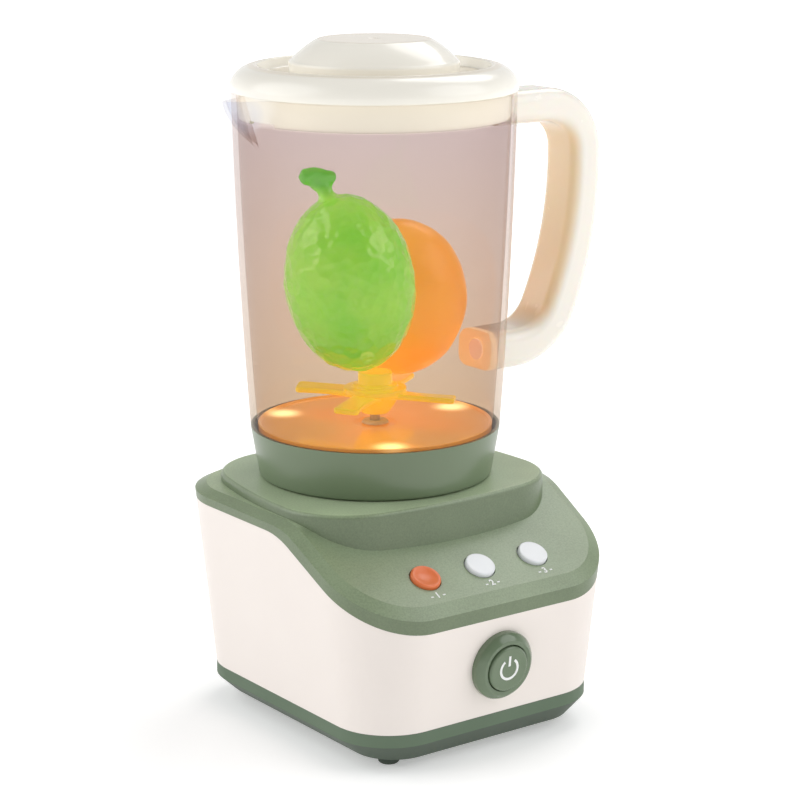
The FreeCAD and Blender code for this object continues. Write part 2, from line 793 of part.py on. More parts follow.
def make_power_button():
    body = new_body("PowerButton")
    spin(body, [
        ("0", "-9"), ("3", "-9"), ("3", "-6.6"), ("10.2", "-6.6"), ("10.2", "-5.1"), ("powerRadius", "-5.1"),
        ("powerRadius", "powerRise - 0.9", "0.9"), ("powerRadius - 0.9", "powerRise"), ("0", "powerRise"),
    ])
    place_on_front(body)
    return keep(body, "power_button")


def make_board(label, length, width, drop, spots, placing):
    """A circuit board that hangs from two posts by screws put in from its far side."""
    board = new_body(label.title().replace("_", ""))
    sketch = new_sketch(board, lift=f"0 - {drop} - boardThick")
    draw_box(sketch, length, width, "1.5")
    screws = new_body(label.title().replace("_", "") + "Screws")
    heads = new_sketch(screws, lift=f"0 - {drop} - boardThick")
    shanks = new_sketch(screws, lift=f"0 - {drop} - boardThick")
    for side in spots:
        draw_circle(sketch, "boardScrew + 0.1", side)
        draw_circle(heads, "boardScrewHead", side)
        draw_circle(shanks, "boardScrew", side)
    pad(board, sketch, "boardThick")
    pad(screws, heads, "1.3", back=True)
    pad(screws, shanks, "boardThick + 5")
    for piece, name in ((board, label), (screws, label + "_screws")):
        placing(piece)
        keep(piece, name)


def make_switches(label, spots, drop, case, height, plunger, placing):
    """Square push switches on a board, each with a round plunger."""
    body = new_body(label.title().replace("_", ""))
    cases = new_sketch(body, lift=f"0 - {drop}")
    plungers = new_sketch(body, lift=f"0 - {drop}")
    for x in spots:
        draw_box(cases, case, case, x=x)
        draw_circle(plungers, "1.7", x)
    pad(body, cases, height)
    pad(body, plungers, plunger)
    placing(body)
    return keep(body, label)


# ---------------------------------------------------------------- panel buttons and their board


def place_on_panel(piece, x="baseX"):
    """The piece's own Z then stands square to the sloping panel."""
    place(piece, x, "buttonY", buttonZ, tilt="panelAngle")


def make_panel_button(label, x, dished):
    body = new_body(label.title().replace("_", ""))
    edge = "0.7"
    if dished:
        top = [(f"buttonRadius - {edge}", "buttonRise"), ("buttonRadius - 1.2", "buttonRise", "0 - 16.8"),
               ("0", "buttonRise - 0.7")]
    else:
        top = [(f"buttonRadius - {edge}", "buttonRise"), ("0", "buttonRise")]
    outline = [
        ("0", "-6.2"), ("2.2", "-6.2"), ("2.2", "-3.8"), ("buttonFlange", "-3.8"), ("buttonFlange", "-2.65"),
        ("buttonRadius", "-2.65"), ("buttonRadius", f"buttonRise - {edge}", edge), *top,
    ]
    spin(body, outline)
    place_on_panel(body, x)
    return keep(body, label)


def make_board_parts():
    """The sound chip's blob and two capacitors on the underside of the panel's board."""
    body = new_body("BoardParts")
    blob = new_sketch(body, lift="0 - boardDrop - boardThick")
    draw_circle(blob, "4.5", "3")
    pad(body, blob, "1.6", back=True)
    cans = new_sketch(body, lift="0 - boardDrop - boardThick")
    for x in ("0 - 22", "22"):
        draw_circle(cans, "2.5", x)
    pad(body, cans, "7", back=True)
    place_on_panel(body)
    return keep(body, "board_parts")


# ---------------------------------------------------------------- motor, gears and lights


def gear_wire(teeth, backlash):
    """The outline of a spur gear with involute flanks, from the module and the count."""
    module = value("toothModule")
    pitch = module * teeth / 2
    base = pitch * math.cos(math.radians(20))
    tip, root = pitch + 0.9 * module, pitch - 1.2 * module
    involute = math.tan(math.radians(20)) - math.radians(20)
    low = max(base * 1.004, root)
    flank = []
    for radius in (low, pitch, (pitch + tip) / 2, tip):
        lean = math.acos(base / radius)
        half = math.pi / (2 * teeth) - backlash / (2 * pitch) + involute - (math.tan(lean) - lean)
        flank.append((radius, half))
    flank.insert(0, (root, flank[0][1] + 0.1 / root))
    points = []
    for tooth in range(teeth):
        middle = 2 * math.pi * (tooth + 0.5) / teeth
        both = [(r, middle - a) for r, a in flank] + [(r, middle + a) for r, a in reversed(flank)]
        points += [Vector(r * math.cos(a), r * math.sin(a), 0) for r, a in both]
    return Part.makePolygon(points + points[:1])


def make_gear(label, teeth, bore, foot, top, x="baseX", y="jarY", hub=None):
    gear = Part.Face(gear_wire(int(value(teeth)), 0.16)).extrude(Vector(0, 0, value(f"{top} - ({foot})")))
    if hub is not None:
        gear = gear.fuse(Part.makeCylinder(value(hub), value("gearThick") + 2.8, Vector(0, 0, -2.3)))
    gear = gear.cut(Part.makeCylinder(value(bore), 40, Vector(0, 0, -10)))
    feature = doc.addObject("Part::Feature", label.title().replace("_", ""))
    feature.Shape = gear.removeSplitter()
    place(feature, x, y, foot)
    return keep(feature, label)


def make_rod(label, radius, foot, top, x="baseX", y="jarY"):
    rod = doc.addObject("Part::Cylinder", label.title().replace("_", ""))
    rod.setExpression("Radius", bound(radius))
    rod.setExpression("Height", bound(f"{top} - ({foot})"))
    place(rod, x, y, foot)
    return keep(rod, label)


def make_gear_frame():
    """A round plate under the seat: it carries the motor and the drive shaft's lower end."""
    body = new_body("GearFrame")
    plate = new_sketch(body, lift="frameZ")
    draw_circle(plate, "frameRadius")
    pad(body, plate, "framePlate")
    boss = new_sketch(body, lift="frameZ - 4")
    draw_circle(boss, "5")
    pad(body, boss, "framePlate + 3")
    holes = new_sketch(body, lift="frameZ - 6")
    draw_circle(holes, "shaftBore")
    draw_circle(holes, "3.05", "0", gearDistance)
    for spot in ring_spots("hangerRadius", "45", 4):
        draw_circle(holes, "boardScrew + 0.1", *spot)
    pocket(body, holes, "framePlate + 8", back=True)
    # two windows save material and let the wires through
    windows = new_sketch(body, lift="frameZ - 1")
    for side in ("15", "0 - 15"):
        draw_box(windows, "9", "14", "3", x=side, y="0 - 5")
    pocket(body, windows, "framePlate + 2", back=True)
    place(body, y="jarY")
    return keep(body, "gear_frame")


def make_motor():
    body = new_body("Motor")
    flat = "sqrt(motorRadius ^ 2 - motorFlat ^ 2)"
    can = new_sketch(body, lift="frameZ - motorLength")
    draw_outline(can, [
        ("motorFlat", f"0 - {flat}"), ("motorFlat", flat, "motorRadius"),
        ("0 - motorFlat", flat), ("0 - motorFlat", f"0 - {flat}", "motorRadius"),
    ])
    pad(body, can, "motorLength")
    boss = new_sketch(body, lift="frameZ - motorLength - 1.6")
    draw_circle(boss, "3")
    pad(body, boss, "motorLength + 3")
    bore = new_sketch(body, lift="frameZ - motorLength + 2")
    draw_circle(bore, "motorShaft + 0.06")
    pocket(body, bore, "motorLength + 4", back=True)
    place(body, y=f"jarY + {gearDistance}")
    return keep(body, "motor")


def make_drive_bush():
    body = new_body("DriveBush")
    spin(body, [
        ("shaftBore", "seatTopZ - 6"), ("4", "seatTopZ - 6"), ("4", "seatTopZ"), ("5.2", "seatTopZ"),
        ("5.2", "seatTopZ + 0.5"), ("shaftBore", "seatTopZ + 0.5"),
    ])
    place(body, y="jarY")
    return keep(body, "drive_bush")


def make_coupler(label, disc_z, disc, dogs_z, turn):
    """A disc with four radial dogs; the mating half's dogs stand in the gaps between."""
    body = new_body(label.title().replace("_", ""))
    face = new_sketch(body, lift=disc_z)
    draw_circle(face, "couplerRadius")
    pad(body, face, disc)
    dog = new_sketch(body, lift=dogs_z)
    draw_box(dog, "4", "dogWidth", "0.5", x="6")
    repeat_round(body, pad(body, dog, "dogHeight + 0.3"), 4)
    bore = new_sketch(body, lift=f"{disc_z} - 5")
    draw_circle(bore, "shaftRadius")
    pocket(body, bore, "20", back=True)
    place(body, y="jarY", turn=turn)
    return keep(body, label)


def make_lights():
    board = new_body("LightBoard")
    ring = new_sketch(board, lift="lightBoardZ")
    draw_circle(ring, "lightRadius + 5.5")
    draw_circle(ring, "lightRadius - 5.5")
    for spot in ring_spots("lightRadius", "lightTurn + 60", 3):
        draw_circle(ring, "boardScrew + 0.1", *spot)
    pad(board, ring, "boardThick")
    place(board, y="jarY")
    keep(board, "light_board")

    lamps = new_body("Lights")
    lenses = new_body("LightLenses")
    bulbs = new_sketch(lamps, lift="lightBoardZ + boardThick")
    windows = new_sketch(lenses, lift="seatTopZ - housingWall")
    flanges = new_sketch(lenses, lift="seatTopZ - housingWall - 0.6")
    for spot in ring_spots("lightRadius", "lightTurn", 3):
        draw_circle(bulbs, "2.5", *spot)
        draw_circle(windows, "lensRadius - 0.05", *spot)
        draw_circle(flanges, "lensRadius + 0.9", *spot)
    pad(lamps, bulbs, "5.2")
    round_edges(lamps, at_height("lightBoardZ + boardThick + 5.2"), "2.2")
    pad(lenses, windows, "housingWall")
    pad(lenses, flanges, "0.6")
    for piece, label in ((lamps, "lights"), (lenses, "light_lenses")):
        place(piece, y="jarY")
        keep(piece, label)


# ---------------------------------------------------------------- jar


def jar_height_radius(z):
    """The jar's outer radius at a height, on the chord of its barely bowed wall."""
    return f"(collarTop + (jarRim - collarTop) * ({z} - collarTopZ) / (jarRimZ - collarTopZ))"


def spout_section(body, z, reach, half, nose, inset="0"):
    """A rounded V that points to -X and starts inside the jar's wall."""
    sketch = new_sketch(body, lift=z)
    wide = f"({half} - ({inset}))"
    end = f"({nose} - ({inset}) / 2)"
    neck = f"0.58 * {end} + ({inset}) - ({reach})"
    draw_outline(sketch, [
        ("0 - spoutRoot", f"0 - {wide}"), ("0 - spoutRoot", wide),
        (neck, end, f"1.15 * {end}"), (neck, f"0 - {end}"),
    ])
    return sketch


def spout_loft(body, kind, inset="0"):
    """The spout grows out of the wall and sweeps up to the rim."""
    ridge = [("0", "14.2", "0.2"), ("5", "8.4", "0.42"), ("9.7", "3.6", "0.62"), ("14.5", "0.8", "0.82")]
    sections = [
        spout_section(body, f"spoutFootZ + {up}", f"spoutReach - {short}", f"spoutHalf * {share}",
                      f"1 + 3 * {share}", inset)
        for up, short, share in ridge
    ]
    sections.append(spout_section(body, "jarRimZ", "spoutReach", "spoutHalf", "4", inset))
    return loft(body, sections, kind, ruled=False)


def make_jar():
    body = new_body("Jar")
    shelf = "floorRadius - 1.3"
    spin(body, [
        ("0", "collarStepZ"), ("collarTop - 2.2", "collarStepZ"), ("collarTop - 1.5", "collarTopZ"),
        ("collarTop", "collarTopZ", "jarBow"), ("jarRim", "jarRimZ"), ("0", "jarRimZ"),
    ])
    spout_loft(body, "AdditiveLoft")
    spin(body, [
        ("0", "collarStepZ - 1"), (shelf, "collarStepZ - 1"), (shelf, "floorShelfZ"),
        ("floorRadius + 0.1", "floorShelfZ", "jarBow"), ("jarRim - jarWall", "jarRimZ"), ("0", "jarRimZ"),
    ], "Groove")
    spout_loft(body, "SubtractiveLoft", "1.7")
    # a round peg and a square lug on the outside carry the handle
    peg = new_sketch(body, "YZ", lift=f"{jar_height_radius('pegZ')} - 1")
    draw_circle(peg, "pegRadius", "0", "pegZ")
    pad(body, peg, "pegLength + 1")
    lug = new_sketch(body, "YZ", lift=f"{jar_height_radius('lugZ')} - 1")
    draw_box(lug, "lugWidth", "lugHeight", "1", y="lugZ")
    pad(body, lug, "pegLength + 3")
    place(body, y="jarY")
    return keep(body, "jar")


def make_collar():
    body = new_body("JarCollar")
    lean = "(collarTop - collarFoot) / (collarTopZ - collarFootZ)"
    spin(body, [
        ("collarInnerFoot", "collarFootZ"), ("collarFoot - 1", "collarFootZ", "1.1"),
        (f"collarFoot + {lean} * 1.1", "collarFootZ + 1.1"), ("collarTop", "collarTopZ"),
        ("collarTop - 1.45", "collarTopZ"), ("collarTop - 2.15", "collarStepZ"),
        ("floorRadius - 1.4", "collarStepZ"), ("collarInnerFoot + 0.3", "collarFootZ + 2.5"),
    ])
    place(body, y="jarY")
    return keep(body, "jar_collar")


def make_jar_floor():
    body = new_body("JarFloor")
    spin(body, [
        ("3.62", "floorShelfZ - 5.5"), ("6.5", "floorShelfZ - 5.5"), ("7", "floorShelfZ"),
        ("floorRadius", "floorShelfZ"), ("floorRadius", "floorShelfZ + floorThick"),
        ("3.62", "floorShelfZ + floorThick"),
    ])
    place(body, y="jarY")
    return keep(body, "jar_floor")


def make_rotor_bush():
    body = new_body("RotorBush")
    top = "floorShelfZ + floorThick"
    spin(body, [
        ("shaftBore", "floorShelfZ - 6.2"), ("3.6", "floorShelfZ - 6.2"), ("3.6", top), ("5.4", top),
        ("4.8", f"{top} + 1"), ("shaftBore", f"{top} + 1"),
    ])
    place(body, y="jarY")
    return keep(body, "rotor_bush")


def make_handle():
    """A D-shaped grip drawn in side view, padded to its width and rounded along its edges."""
    body = new_body("Handle")
    # outside: a crown arc, a long back and a heel arc, each tangent to the next
    rise = "(handleFootZ + heelRadius - handleBackZ)"
    run = f"sqrt((backRadius - heelRadius) ^ 2 - {rise} ^ 2)"
    backX = "(handleReach - backRadius)"
    share = "(backRadius / (backRadius - heelRadius))"
    # inside: the same three, round the finger opening
    gripReach = "(handleReach - gripThick)"
    gripRise = "(gripFootZ + gripHeel - handleBackZ - 3)"
    gripRun = f"sqrt((gripBack - gripHeel) ^ 2 - {gripRise} ^ 2)"
    gripX = f"({gripReach} - gripBack)"
    gripShare = "(gripBack / (gripBack - gripHeel))"
    root = "collarTop - 2"
    side = new_sketch(body, "XZ")
    draw_outline(side, [
        (root, "handleTopZ"), ("handleReach - crownRadius", "handleTopZ", "0 - crownRadius"),
        ("handleReach", "handleTopZ - crownRadius"), ("handleReach", "handleBackZ", "0 - backRadius"),
        (f"{backX} + {run} * {share}", f"handleBackZ + {rise} * {share}", "0 - heelRadius"),
        (f"{backX} + {run}", "handleFootZ"), (root, "handleFootZ"), (root, "gripFootZ"),
        (f"{gripX} + {gripRun}", "gripFootZ", "gripHeel"),
        (f"{gripX} + {gripRun} * {gripShare}", f"handleBackZ + 3 + {gripRise} * {gripShare}", "gripBack"),
        (gripReach, "handleBackZ + 3"), (gripReach, "gripTopZ - gripCrown", "gripCrown"),
        (f"{gripReach} - gripCrown", "gripTopZ"), (root, "gripTopZ"),
    ])
    pad(body, side, "handleWidth", both=True)
    half = value("handleWidth / 2")
    wall = value(root) + 0.01

    def grip_edge(edge):
        box = edge.BoundBox
        return box.YLength < 0.01 and abs(abs(box.YMax) - half) < 0.01 and box.XMax > wall

    round_edges(body, grip_edge, "handleRound")
    spin(body, [
        ("0", "collarTopZ"), ("collarTop + 0.03", "collarTopZ", "jarBow"),
        ("jarRim + 0.03", "jarRimZ"), ("0", "jarRimZ"),
    ], "Groove")
    peg = new_sketch(body, "YZ", lift=f"{jar_height_radius('pegZ')} - 3")
    draw_circle(peg, "pegRadius + 0.1", "0", "pegZ")
    pocket(body, peg, "pegLength + 3.6", back=True)
    lug = new_sketch(body, "YZ", lift=f"{jar_height_radius('lugZ')} - 3")
    draw_box(lug, "lugWidth + 0.2", "lugHeight + 0.2", "1", y="lugZ")
    pocket(body, lug, "pegLength + 5.6", back=True)
    place(body, y="jarY")
    return keep(body, "handle")


# ---------------------------------------------------------------- rotor


def make_rotor():
    body = new_body("Rotor")
    spin(body, [
        ("shaftRadius", "hubFootZ"), ("7.6", "hubFootZ"), ("9.8", "hubFootZ + 4"), ("9.8", "hubFootZ + 5.1"),
        ("12.6", "hubFootZ + 5.3"), ("12.6", "hubFootZ + 7.5"), ("9.2", "hubFootZ + 7.8"),
        ("9", "hubFootZ + 8.8"), ("6.9", "hubFootZ + 9"), ("6.9", "hubTopZ - 0.8", "0.8"), ("6.1", "hubTopZ"),
        ("0", "hubTopZ"), ("0", "hubTopZ - 2.4"), ("shaftRadius", "hubTopZ - 2.4"),
    ])
    # broad blades with rounded tips, hollow along the trailing edge
    blade = new_sketch(body, lift="bladeZ", tilt="0 - bladePitch")
    draw_outline(blade, [
        ("6", "-5.2"), ("bladeReach - 2", "-5.2", "2"), ("bladeReach - 0.2", "-3.4"),
        ("bladeReach - 1.6", "3.2", "2"), ("bladeReach - 3.6", "4.6", "0 - 48"), ("6", "6.2"),
    ])
    repeat_round(body, pad(body, blade, "bladeThick"), 4)
    place(body, y="jarY", turn="bladeTurn")
    return keep(body, "blade_rotor")


# ---------------------------------------------------------------- lid


def make_lid():
    body = new_body("Lid")
    inner = "lidSkirt - 1.9"
    spin(body, [
        (inner, "lidSkirtZ"), ("lidSkirt", "lidSkirtZ"), ("lidSkirt", "lidFlangeZ"), ("lidFlange", "lidFlangeZ"),
        ("lidFlange", "lidFlangeZ + 2", "10"), ("lidRim", "lidRimZ"), ("lidRim - 1.4", "lidRimZ - 0.7"),
        ("lidRim - 2.6", "capSeatZ + 0.9"), ("capRadius + 0.8", "capSeatZ"), ("lidHole", "capSeatZ"),
        ("lidHole", "capSeatZ - 2"), ("lidRim - 1.8", "capSeatZ - 1.3"), ("lidRim - 0.2", "lidRimZ - 2.3"),
        ("lidSkirt - 2.9", "lidRimZ - 4"), (inner, "lidFlangeZ + 1.9"),
    ])
    # a shallow gap in the skirt lets the jar pour with the lid on
    gap = new_sketch(body, lift="lidSkirtZ - 1")
    draw_box(gap, "16", "pourGap", x="0 - lidSkirt")
    pocket(body, gap, "2.4", back=True)
    place(body, y="jarY")
    return keep(body, "lid")


def make_lid_cap():
    body = new_body("LidCap")
    spin(body, [
        ("lidHole - 2.2", "capSeatZ - 3.8"), ("lidHole - 0.3", "capSeatZ - 3.8"), ("lidHole - 0.3", "capSeatZ"),
        ("capRadius", "capSeatZ"), ("capRadius", "capSeatZ + 5", "1.6"), ("capRadius - 0.9", "capSeatZ + 6.5", "40"),
        ("capTop + 0.9", "capTopZ - 0.4"), ("capTop", "capTopZ"), ("2.2", "capTopZ"), ("2.2", "capTopZ - 0.35"),
        ("0", "capTopZ - 0.35"), ("0", "capTopZ - 2.2"), ("capTop - 0.6", "capTopZ - 2.2", "0 - 40"),
        ("lidHole - 2.2", "capSeatZ + 5.4"),
    ])
    place(body, y="jarY")
    return keep(body, "lid_cap")


# ---------------------------------------------------------------- play fruit


def place_fruit(piece, side, back, z):
    """A fruit stands beside and behind the jar's axis as seen along the row's front view."""
    t = "viewTurn * 1deg"
    x = f"baseX + {side} * cos({t}) - {back} * sin({t})"
    y = f"jarY + {side} * sin({t}) + {back} * cos({t})"
    place(piece, x, y, z, turn="viewTurn")


def make_ellipsoid(name, across, thick, tall):
    ball = doc.addObject("Part::Ellipsoid", name)
    for prop, expression in (("Radius1", tall), ("Radius2", across), ("Radius3", thick)):
        ball.setExpression(prop, bound(expression))
    return ball


def make_fruit():
    orange = make_ellipsoid("OrangeFruit", "orangeAcross", "orangeThick", "orangeTall")
    place_fruit(orange, "orangeSide", "orangeBack", "orangeZ")
    keep(orange, "orange_fruit")

    flesh = make_ellipsoid("LimeFlesh", "limeAcross", "limeThick", "limeTall")
    flesh.Placement = Placement(Vector(), Rotation(Vector(0, -1, 0), value("limeTilt")))
    flesh.setExpression("Placement.Rotation.Angle", bound("limeTilt"))
    stalk = doc.addObject("Part::Cone", "LimeStalk")
    stalk.Radius1, stalk.Radius2, stalk.Height = 2.9, 1.9, 11.5
    stalk.Placement = Placement(Vector(-8.6, 0, 31), Rotation(Vector(0, 1, 0), -22))
    bar = doc.addObject("Part::Cylinder", "LimeStalkBar")
    bar.Radius, bar.Height = 1.8, 13.5
    bar.Placement = Placement(Vector(-19.2, 0, 43.6), Rotation(Vector(0, 1, 0), 101))
    lime = combine("Fuse", "GreenFruit", flesh, stalk, bar)
    place_fruit(lime, "limeSide", "limeBack", "limeZ")
    keep(lime, "green_fruit")


# ---------------------------------------------------------------- the whole object

make_base_plate()
make_feet()
make_shell()
make_cover()
make_screws("case_screws", casePosts, "screwHead", "screwShank", "counterboreZ - 2", "counterboreZ", "screwTipZ")
make_battery_door()
make_screws("door_screw", [("0", "bayY - bayWidth / 2 - 5")], "2.1", "1.1",
            "undersideZ + 0.1", "undersideZ + 1.2", "undersideZ + 8")
make_cells()
make_contacts()
make_speaker()
make_power_bezel()
make_power_button()
powerSpots = ("powerPostX", "0 - powerPostX")
make_board("power_board", "2 * powerPostX + 8", "15", "powerBoardDrop", powerSpots, place_on_front)
make_switches("power_switch", ("0",), "powerBoardDrop", "8", "2.4", "3.1", place_on_front)
make_panel_button("orange_button", "baseX - buttonPitch", dished=True)
make_panel_button("middle_button", "baseX", dished=False)
make_panel_button("right_button", "baseX + buttonPitch", dished=False)
buttonSpots = ("0 - buttonPitch", "0", "buttonPitch")
boardSpots = ("boardPostX", "0 - boardPostX")
make_board("circuit_board", "boardLength", "boardWidth", "boardDrop", boardSpots, place_on_panel)
make_switches("tact_switches", buttonSpots, "boardDrop", "6", "2.9", "3.5", place_on_panel)
make_board_parts()
make_gear_frame()
make_screws("frame_screws", ring_spots("hangerRadius", "45", 4), "2.4", "boardScrew",
            "frameZ - 1.6", "frameZ", "frameZ + 10", y="jarY")
make_screws("light_screws", ring_spots("lightRadius", "lightTurn + 60", 3), "boardScrewHead", "boardScrew",
            "lightBoardZ - 1.3", "lightBoardZ", "lightBoardZ + 6", y="jarY")
make_motor()
motorY = f"jarY + {gearDistance}"
make_rod("motor_shaft", "motorShaft", "frameZ - 10", "gearZ + gearThick + 1", y=motorY)
make_gear("motor_pinion", "pinionTeeth", "motorShaft", "gearZ - 0.5", "gearZ + gearThick + 0.5", y=motorY)
make_gear("drive_gear", "gearTeeth", "shaftRadius", "gearZ", "gearZ + gearThick", hub="4.5")
make_rod("drive_shaft", "shaftRadius", "frameZ - 5", "driveCouplerZ + couplerDisc")
make_drive_bush()
make_coupler("drive_coupler", "driveCouplerZ", "couplerDisc", "driveCouplerZ + couplerDisc - 0.3", "0")
make_lights()
make_jar()
make_collar()
make_jar_floor()
make_rotor_bush()
make_handle()
make_rotor()
make_rod("rotor_shaft", "shaftRadius", "drivenCouplerZ", "hubTopZ - 2.4")
make_coupler("driven_coupler", "drivenCouplerZ", "couplerDisc", "drivenCouplerZ - dogHeight", "45")
make_lid()
make_lid_cap()
make_fruit()

doc.recompute()
for thing in doc.Objects:
    if "Invalid" in thing.State or "Error" in thing.State:
        raise RuntimeError(f"{thing.Label} failed: {thing.State}")
os.makedirs("parts", exist_ok=True)
for piece in pieces:
    if piece.Shape.isNull() or not piece.Shape.isValid():
        raise RuntimeError(f"{piece.Label} has no valid shape")
    piece.Shape.exportStep(f"parts/{piece.Label}.step")
    print(f"{piece.Label:18s} {len(piece.Shape.Solids)} solids {piece.Shape.Volume / 1000:8.2f} cm3")
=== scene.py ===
import math
import bpy
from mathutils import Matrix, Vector


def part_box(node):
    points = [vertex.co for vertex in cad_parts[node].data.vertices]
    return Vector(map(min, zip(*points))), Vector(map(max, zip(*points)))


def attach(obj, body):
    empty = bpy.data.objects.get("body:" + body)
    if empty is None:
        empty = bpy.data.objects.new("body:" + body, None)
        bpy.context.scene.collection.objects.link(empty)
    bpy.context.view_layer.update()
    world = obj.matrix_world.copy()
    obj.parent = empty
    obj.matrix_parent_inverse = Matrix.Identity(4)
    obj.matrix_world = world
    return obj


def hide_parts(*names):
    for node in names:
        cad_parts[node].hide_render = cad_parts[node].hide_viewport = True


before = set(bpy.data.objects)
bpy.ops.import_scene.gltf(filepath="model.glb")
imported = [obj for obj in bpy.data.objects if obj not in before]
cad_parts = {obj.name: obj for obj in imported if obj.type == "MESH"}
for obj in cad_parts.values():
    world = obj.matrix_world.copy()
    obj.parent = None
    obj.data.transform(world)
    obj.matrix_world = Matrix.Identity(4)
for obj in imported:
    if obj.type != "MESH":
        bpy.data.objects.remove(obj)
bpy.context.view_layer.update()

mm = 0.001
scene = bpy.context.scene

# where the pieces stand, read from the frame
collarLow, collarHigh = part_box("jar_collar")
jarAxis = (collarLow + collarHigh) / 2 / mm          # centre line of jar, lid and rotor
boardLow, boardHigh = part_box("base_plate")
baseMiddle = (boardLow + boardHigh) / 2 / mm
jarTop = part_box("jar")[1].z / mm


# picking pieces up and finishing them

def putDown():
    if bpy.context.object and bpy.context.object.mode != "OBJECT":
        bpy.ops.object.mode_set(mode="OBJECT")
    bpy.ops.object.select_all(action="DESELECT")


def pickUp(piece):
    putDown()
    piece.select_set(True)
    bpy.context.view_layer.objects.active = piece


def place(piece, x=0.0, y=0.0, z=0.0, tilt=0.0, lean=0.0, turn=0.0):
    pickUp(piece)
    piece.rotation_euler = (math.radians(tilt), math.radians(lean), math.radians(turn))
    piece.location = Vector((x, y, z)) * mm
    bpy.ops.object.transform_apply(location=True, rotation=True, scale=True)


def dress(piece, body, slotName, material, *nodes):
    piece.data.materials.clear()
    piece.data.materials.append(material)
    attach(piece, body)
    if nodes:
        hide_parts(*nodes)


def roundEdges(piece, width, segments=3, sharpest=38):
    pickUp(piece)
    softener = piece.modifiers.new("roundedEdges", "BEVEL")
    softener.width = width * mm
    softener.segments = segments
    softener.limit_method = "ANGLE"
    softener.angle_limit = math.radians(sharpest)
    softener.miter_outer = "MITER_ARC"
    softener.loop_slide = False
    bpy.ops.object.modifier_apply(modifier=softener.name)


def smooth(piece, angle=32):
    pickUp(piece)
    bpy.ops.object.shade_smooth_by_angle(angle=math.radians(angle))
    level = piece.modifiers.new("flatFaces", "WEIGHTED_NORMAL")
    level.keep_sharp = True
    bpy.ops.object.modifier_apply(modifier=level.name)


def carve(piece, cutter):
    pickUp(piece)
    cut = piece.modifiers.new("carve", "BOOLEAN")
    cut.object = cutter
    cut.operation = "DIFFERENCE"
    bpy.ops.object.modifier_apply(modifier=cut.name)
    bpy.data.objects.remove(cutter)


# outlines: (across, up) or (across, up, radius), where a radius bends the way to the next
# point into an arc, outwards to the right when positive and to the left when negative

def arcBetween(start, end, radius, steps):
    chord = end - start
    left = Vector((-chord.y, chord.x)).normalized()
    rise = math.sqrt(max(radius ** 2 - (chord.length / 2) ** 2, 0.0))
    centre = (start + end) / 2 + left * math.copysign(rise, radius)
    low = math.atan2(start.y - centre.y, start.x - centre.x)
    sweep = math.atan2(end.y - centre.y, end.x - centre.x) - low
    sweep = (sweep + math.pi) % (2 * math.pi) - math.pi
    size = (start - centre).length
    angles = [low + sweep * i / steps for i in range(1, steps)]
    return [centre + Vector((math.cos(a), math.sin(a))) * size for a in angles]


def trace(points, steps):
    spots = [Vector(point[:2]) for point in points]
    path = []
    for i, point in enumerate(points):
        end = spots[(i + 1) % len(spots)]
        path.append(spots[i])
        if len(point) == 3:
            path += arcBetween(spots[i], end, point[2], steps)
    return path


def drawLoop(name, path, flat):
    putDown()
    bpy.ops.mesh.primitive_plane_add(size=mm)
    piece = bpy.context.object
    piece.name = name
    bpy.ops.object.mode_set(mode="EDIT")
    bpy.ops.mesh.select_all(action="SELECT")
    bpy.ops.mesh.merge(type="CENTER")
    spots = [Vector((p.x, p.y, 0)) * mm if flat else Vector((p.x, 0, p.y)) * mm for p in path]
    bpy.ops.transform.translate(value=spots[0])
    for before, after in zip(spots, spots[1:] + spots[:1]):
        bpy.ops.mesh.extrude_vertices_move(TRANSFORM_OT_translate={"value": after - before})
    bpy.ops.mesh.select_all(action="SELECT")
    bpy.ops.mesh.remove_doubles(threshold=1e-6)
    return piece


def turned(name, points, segments=128, steps=8, edge=0.25, sweep=360.0, start=0.0):
    piece = drawLoop(name, trace(points, steps), flat=False)
    bpy.ops.mesh.select_all(action="SELECT")
    if start:
        bpy.ops.transform.rotate(value=math.radians(-start), orient_axis="Z", center_override=(0, 0, 0))
    bpy.ops.mesh.spin(steps=segments, angle=math.radians(sweep), center=(0, 0, 0), axis=(0, 0, 1))
    bpy.ops.mesh.select_all(action="SELECT")
    bpy.ops.mesh.remove_doubles(threshold=2e-6)
    if sweep < 360:
        bpy.ops.mesh.select_all(action="DESELECT")
        bpy.ops.mesh.select_non_manifold()
        bpy.ops.mesh.fill_holes(sides=0)
        bpy.ops.mesh.select_all(action="SELECT")
    bpy.ops.mesh.normals_make_consistent(inside=False)
    bpy.ops.object.mode_set(mode="OBJECT")
    if edge:
        roundEdges(piece, edge)
    smooth(piece)
    return piece


def slab(name, points, thick, flat=True, steps=10):
    piece = drawLoop(name, trace(points, steps), flat)
    bpy.ops.mesh.select_all(action="SELECT")
    bpy.ops.mesh.edge_face_add()
    rise = Vector((0, 0, thick)) if flat else Vector((0, thick, 0))
    bpy.ops.mesh.extrude_region_move(TRANSFORM_OT_translate={"value": rise * mm})
    bpy.ops.mesh.select_all(action="SELECT")
    bpy.ops.mesh.normals_make_consistent(inside=False)
    bpy.ops.object.mode_set(mode="OBJECT")
    return piece


def moulded(name, node, edge):
    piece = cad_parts[node].copy()
    piece.data = piece.data.copy()
    piece.name = name
    piece.parent = None
    for key in list(piece.keys()):
        del piece[key]
    scene.collection.objects.link(piece)
    pickUp(piece)
    bpy.ops.object.mode_set(mode="EDIT")
    bpy.ops.mesh.select_all(action="SELECT")
    bpy.ops.mesh.remove_doubles(threshold=2e-6)
    bpy.ops.mesh.dissolve_limited(angle_limit=math.radians(0.6))
    bpy.ops.object.mode_set(mode="OBJECT")
    roundEdges(piece, edge, segments=2, sharpest=14)
    smooth(piece, 24)
    return piece


# building blocks for the node trees: a value is either a plain value or the socket it comes from

nodeSettings = ("operation", "data_type", "blend_type", "interpolation_type")


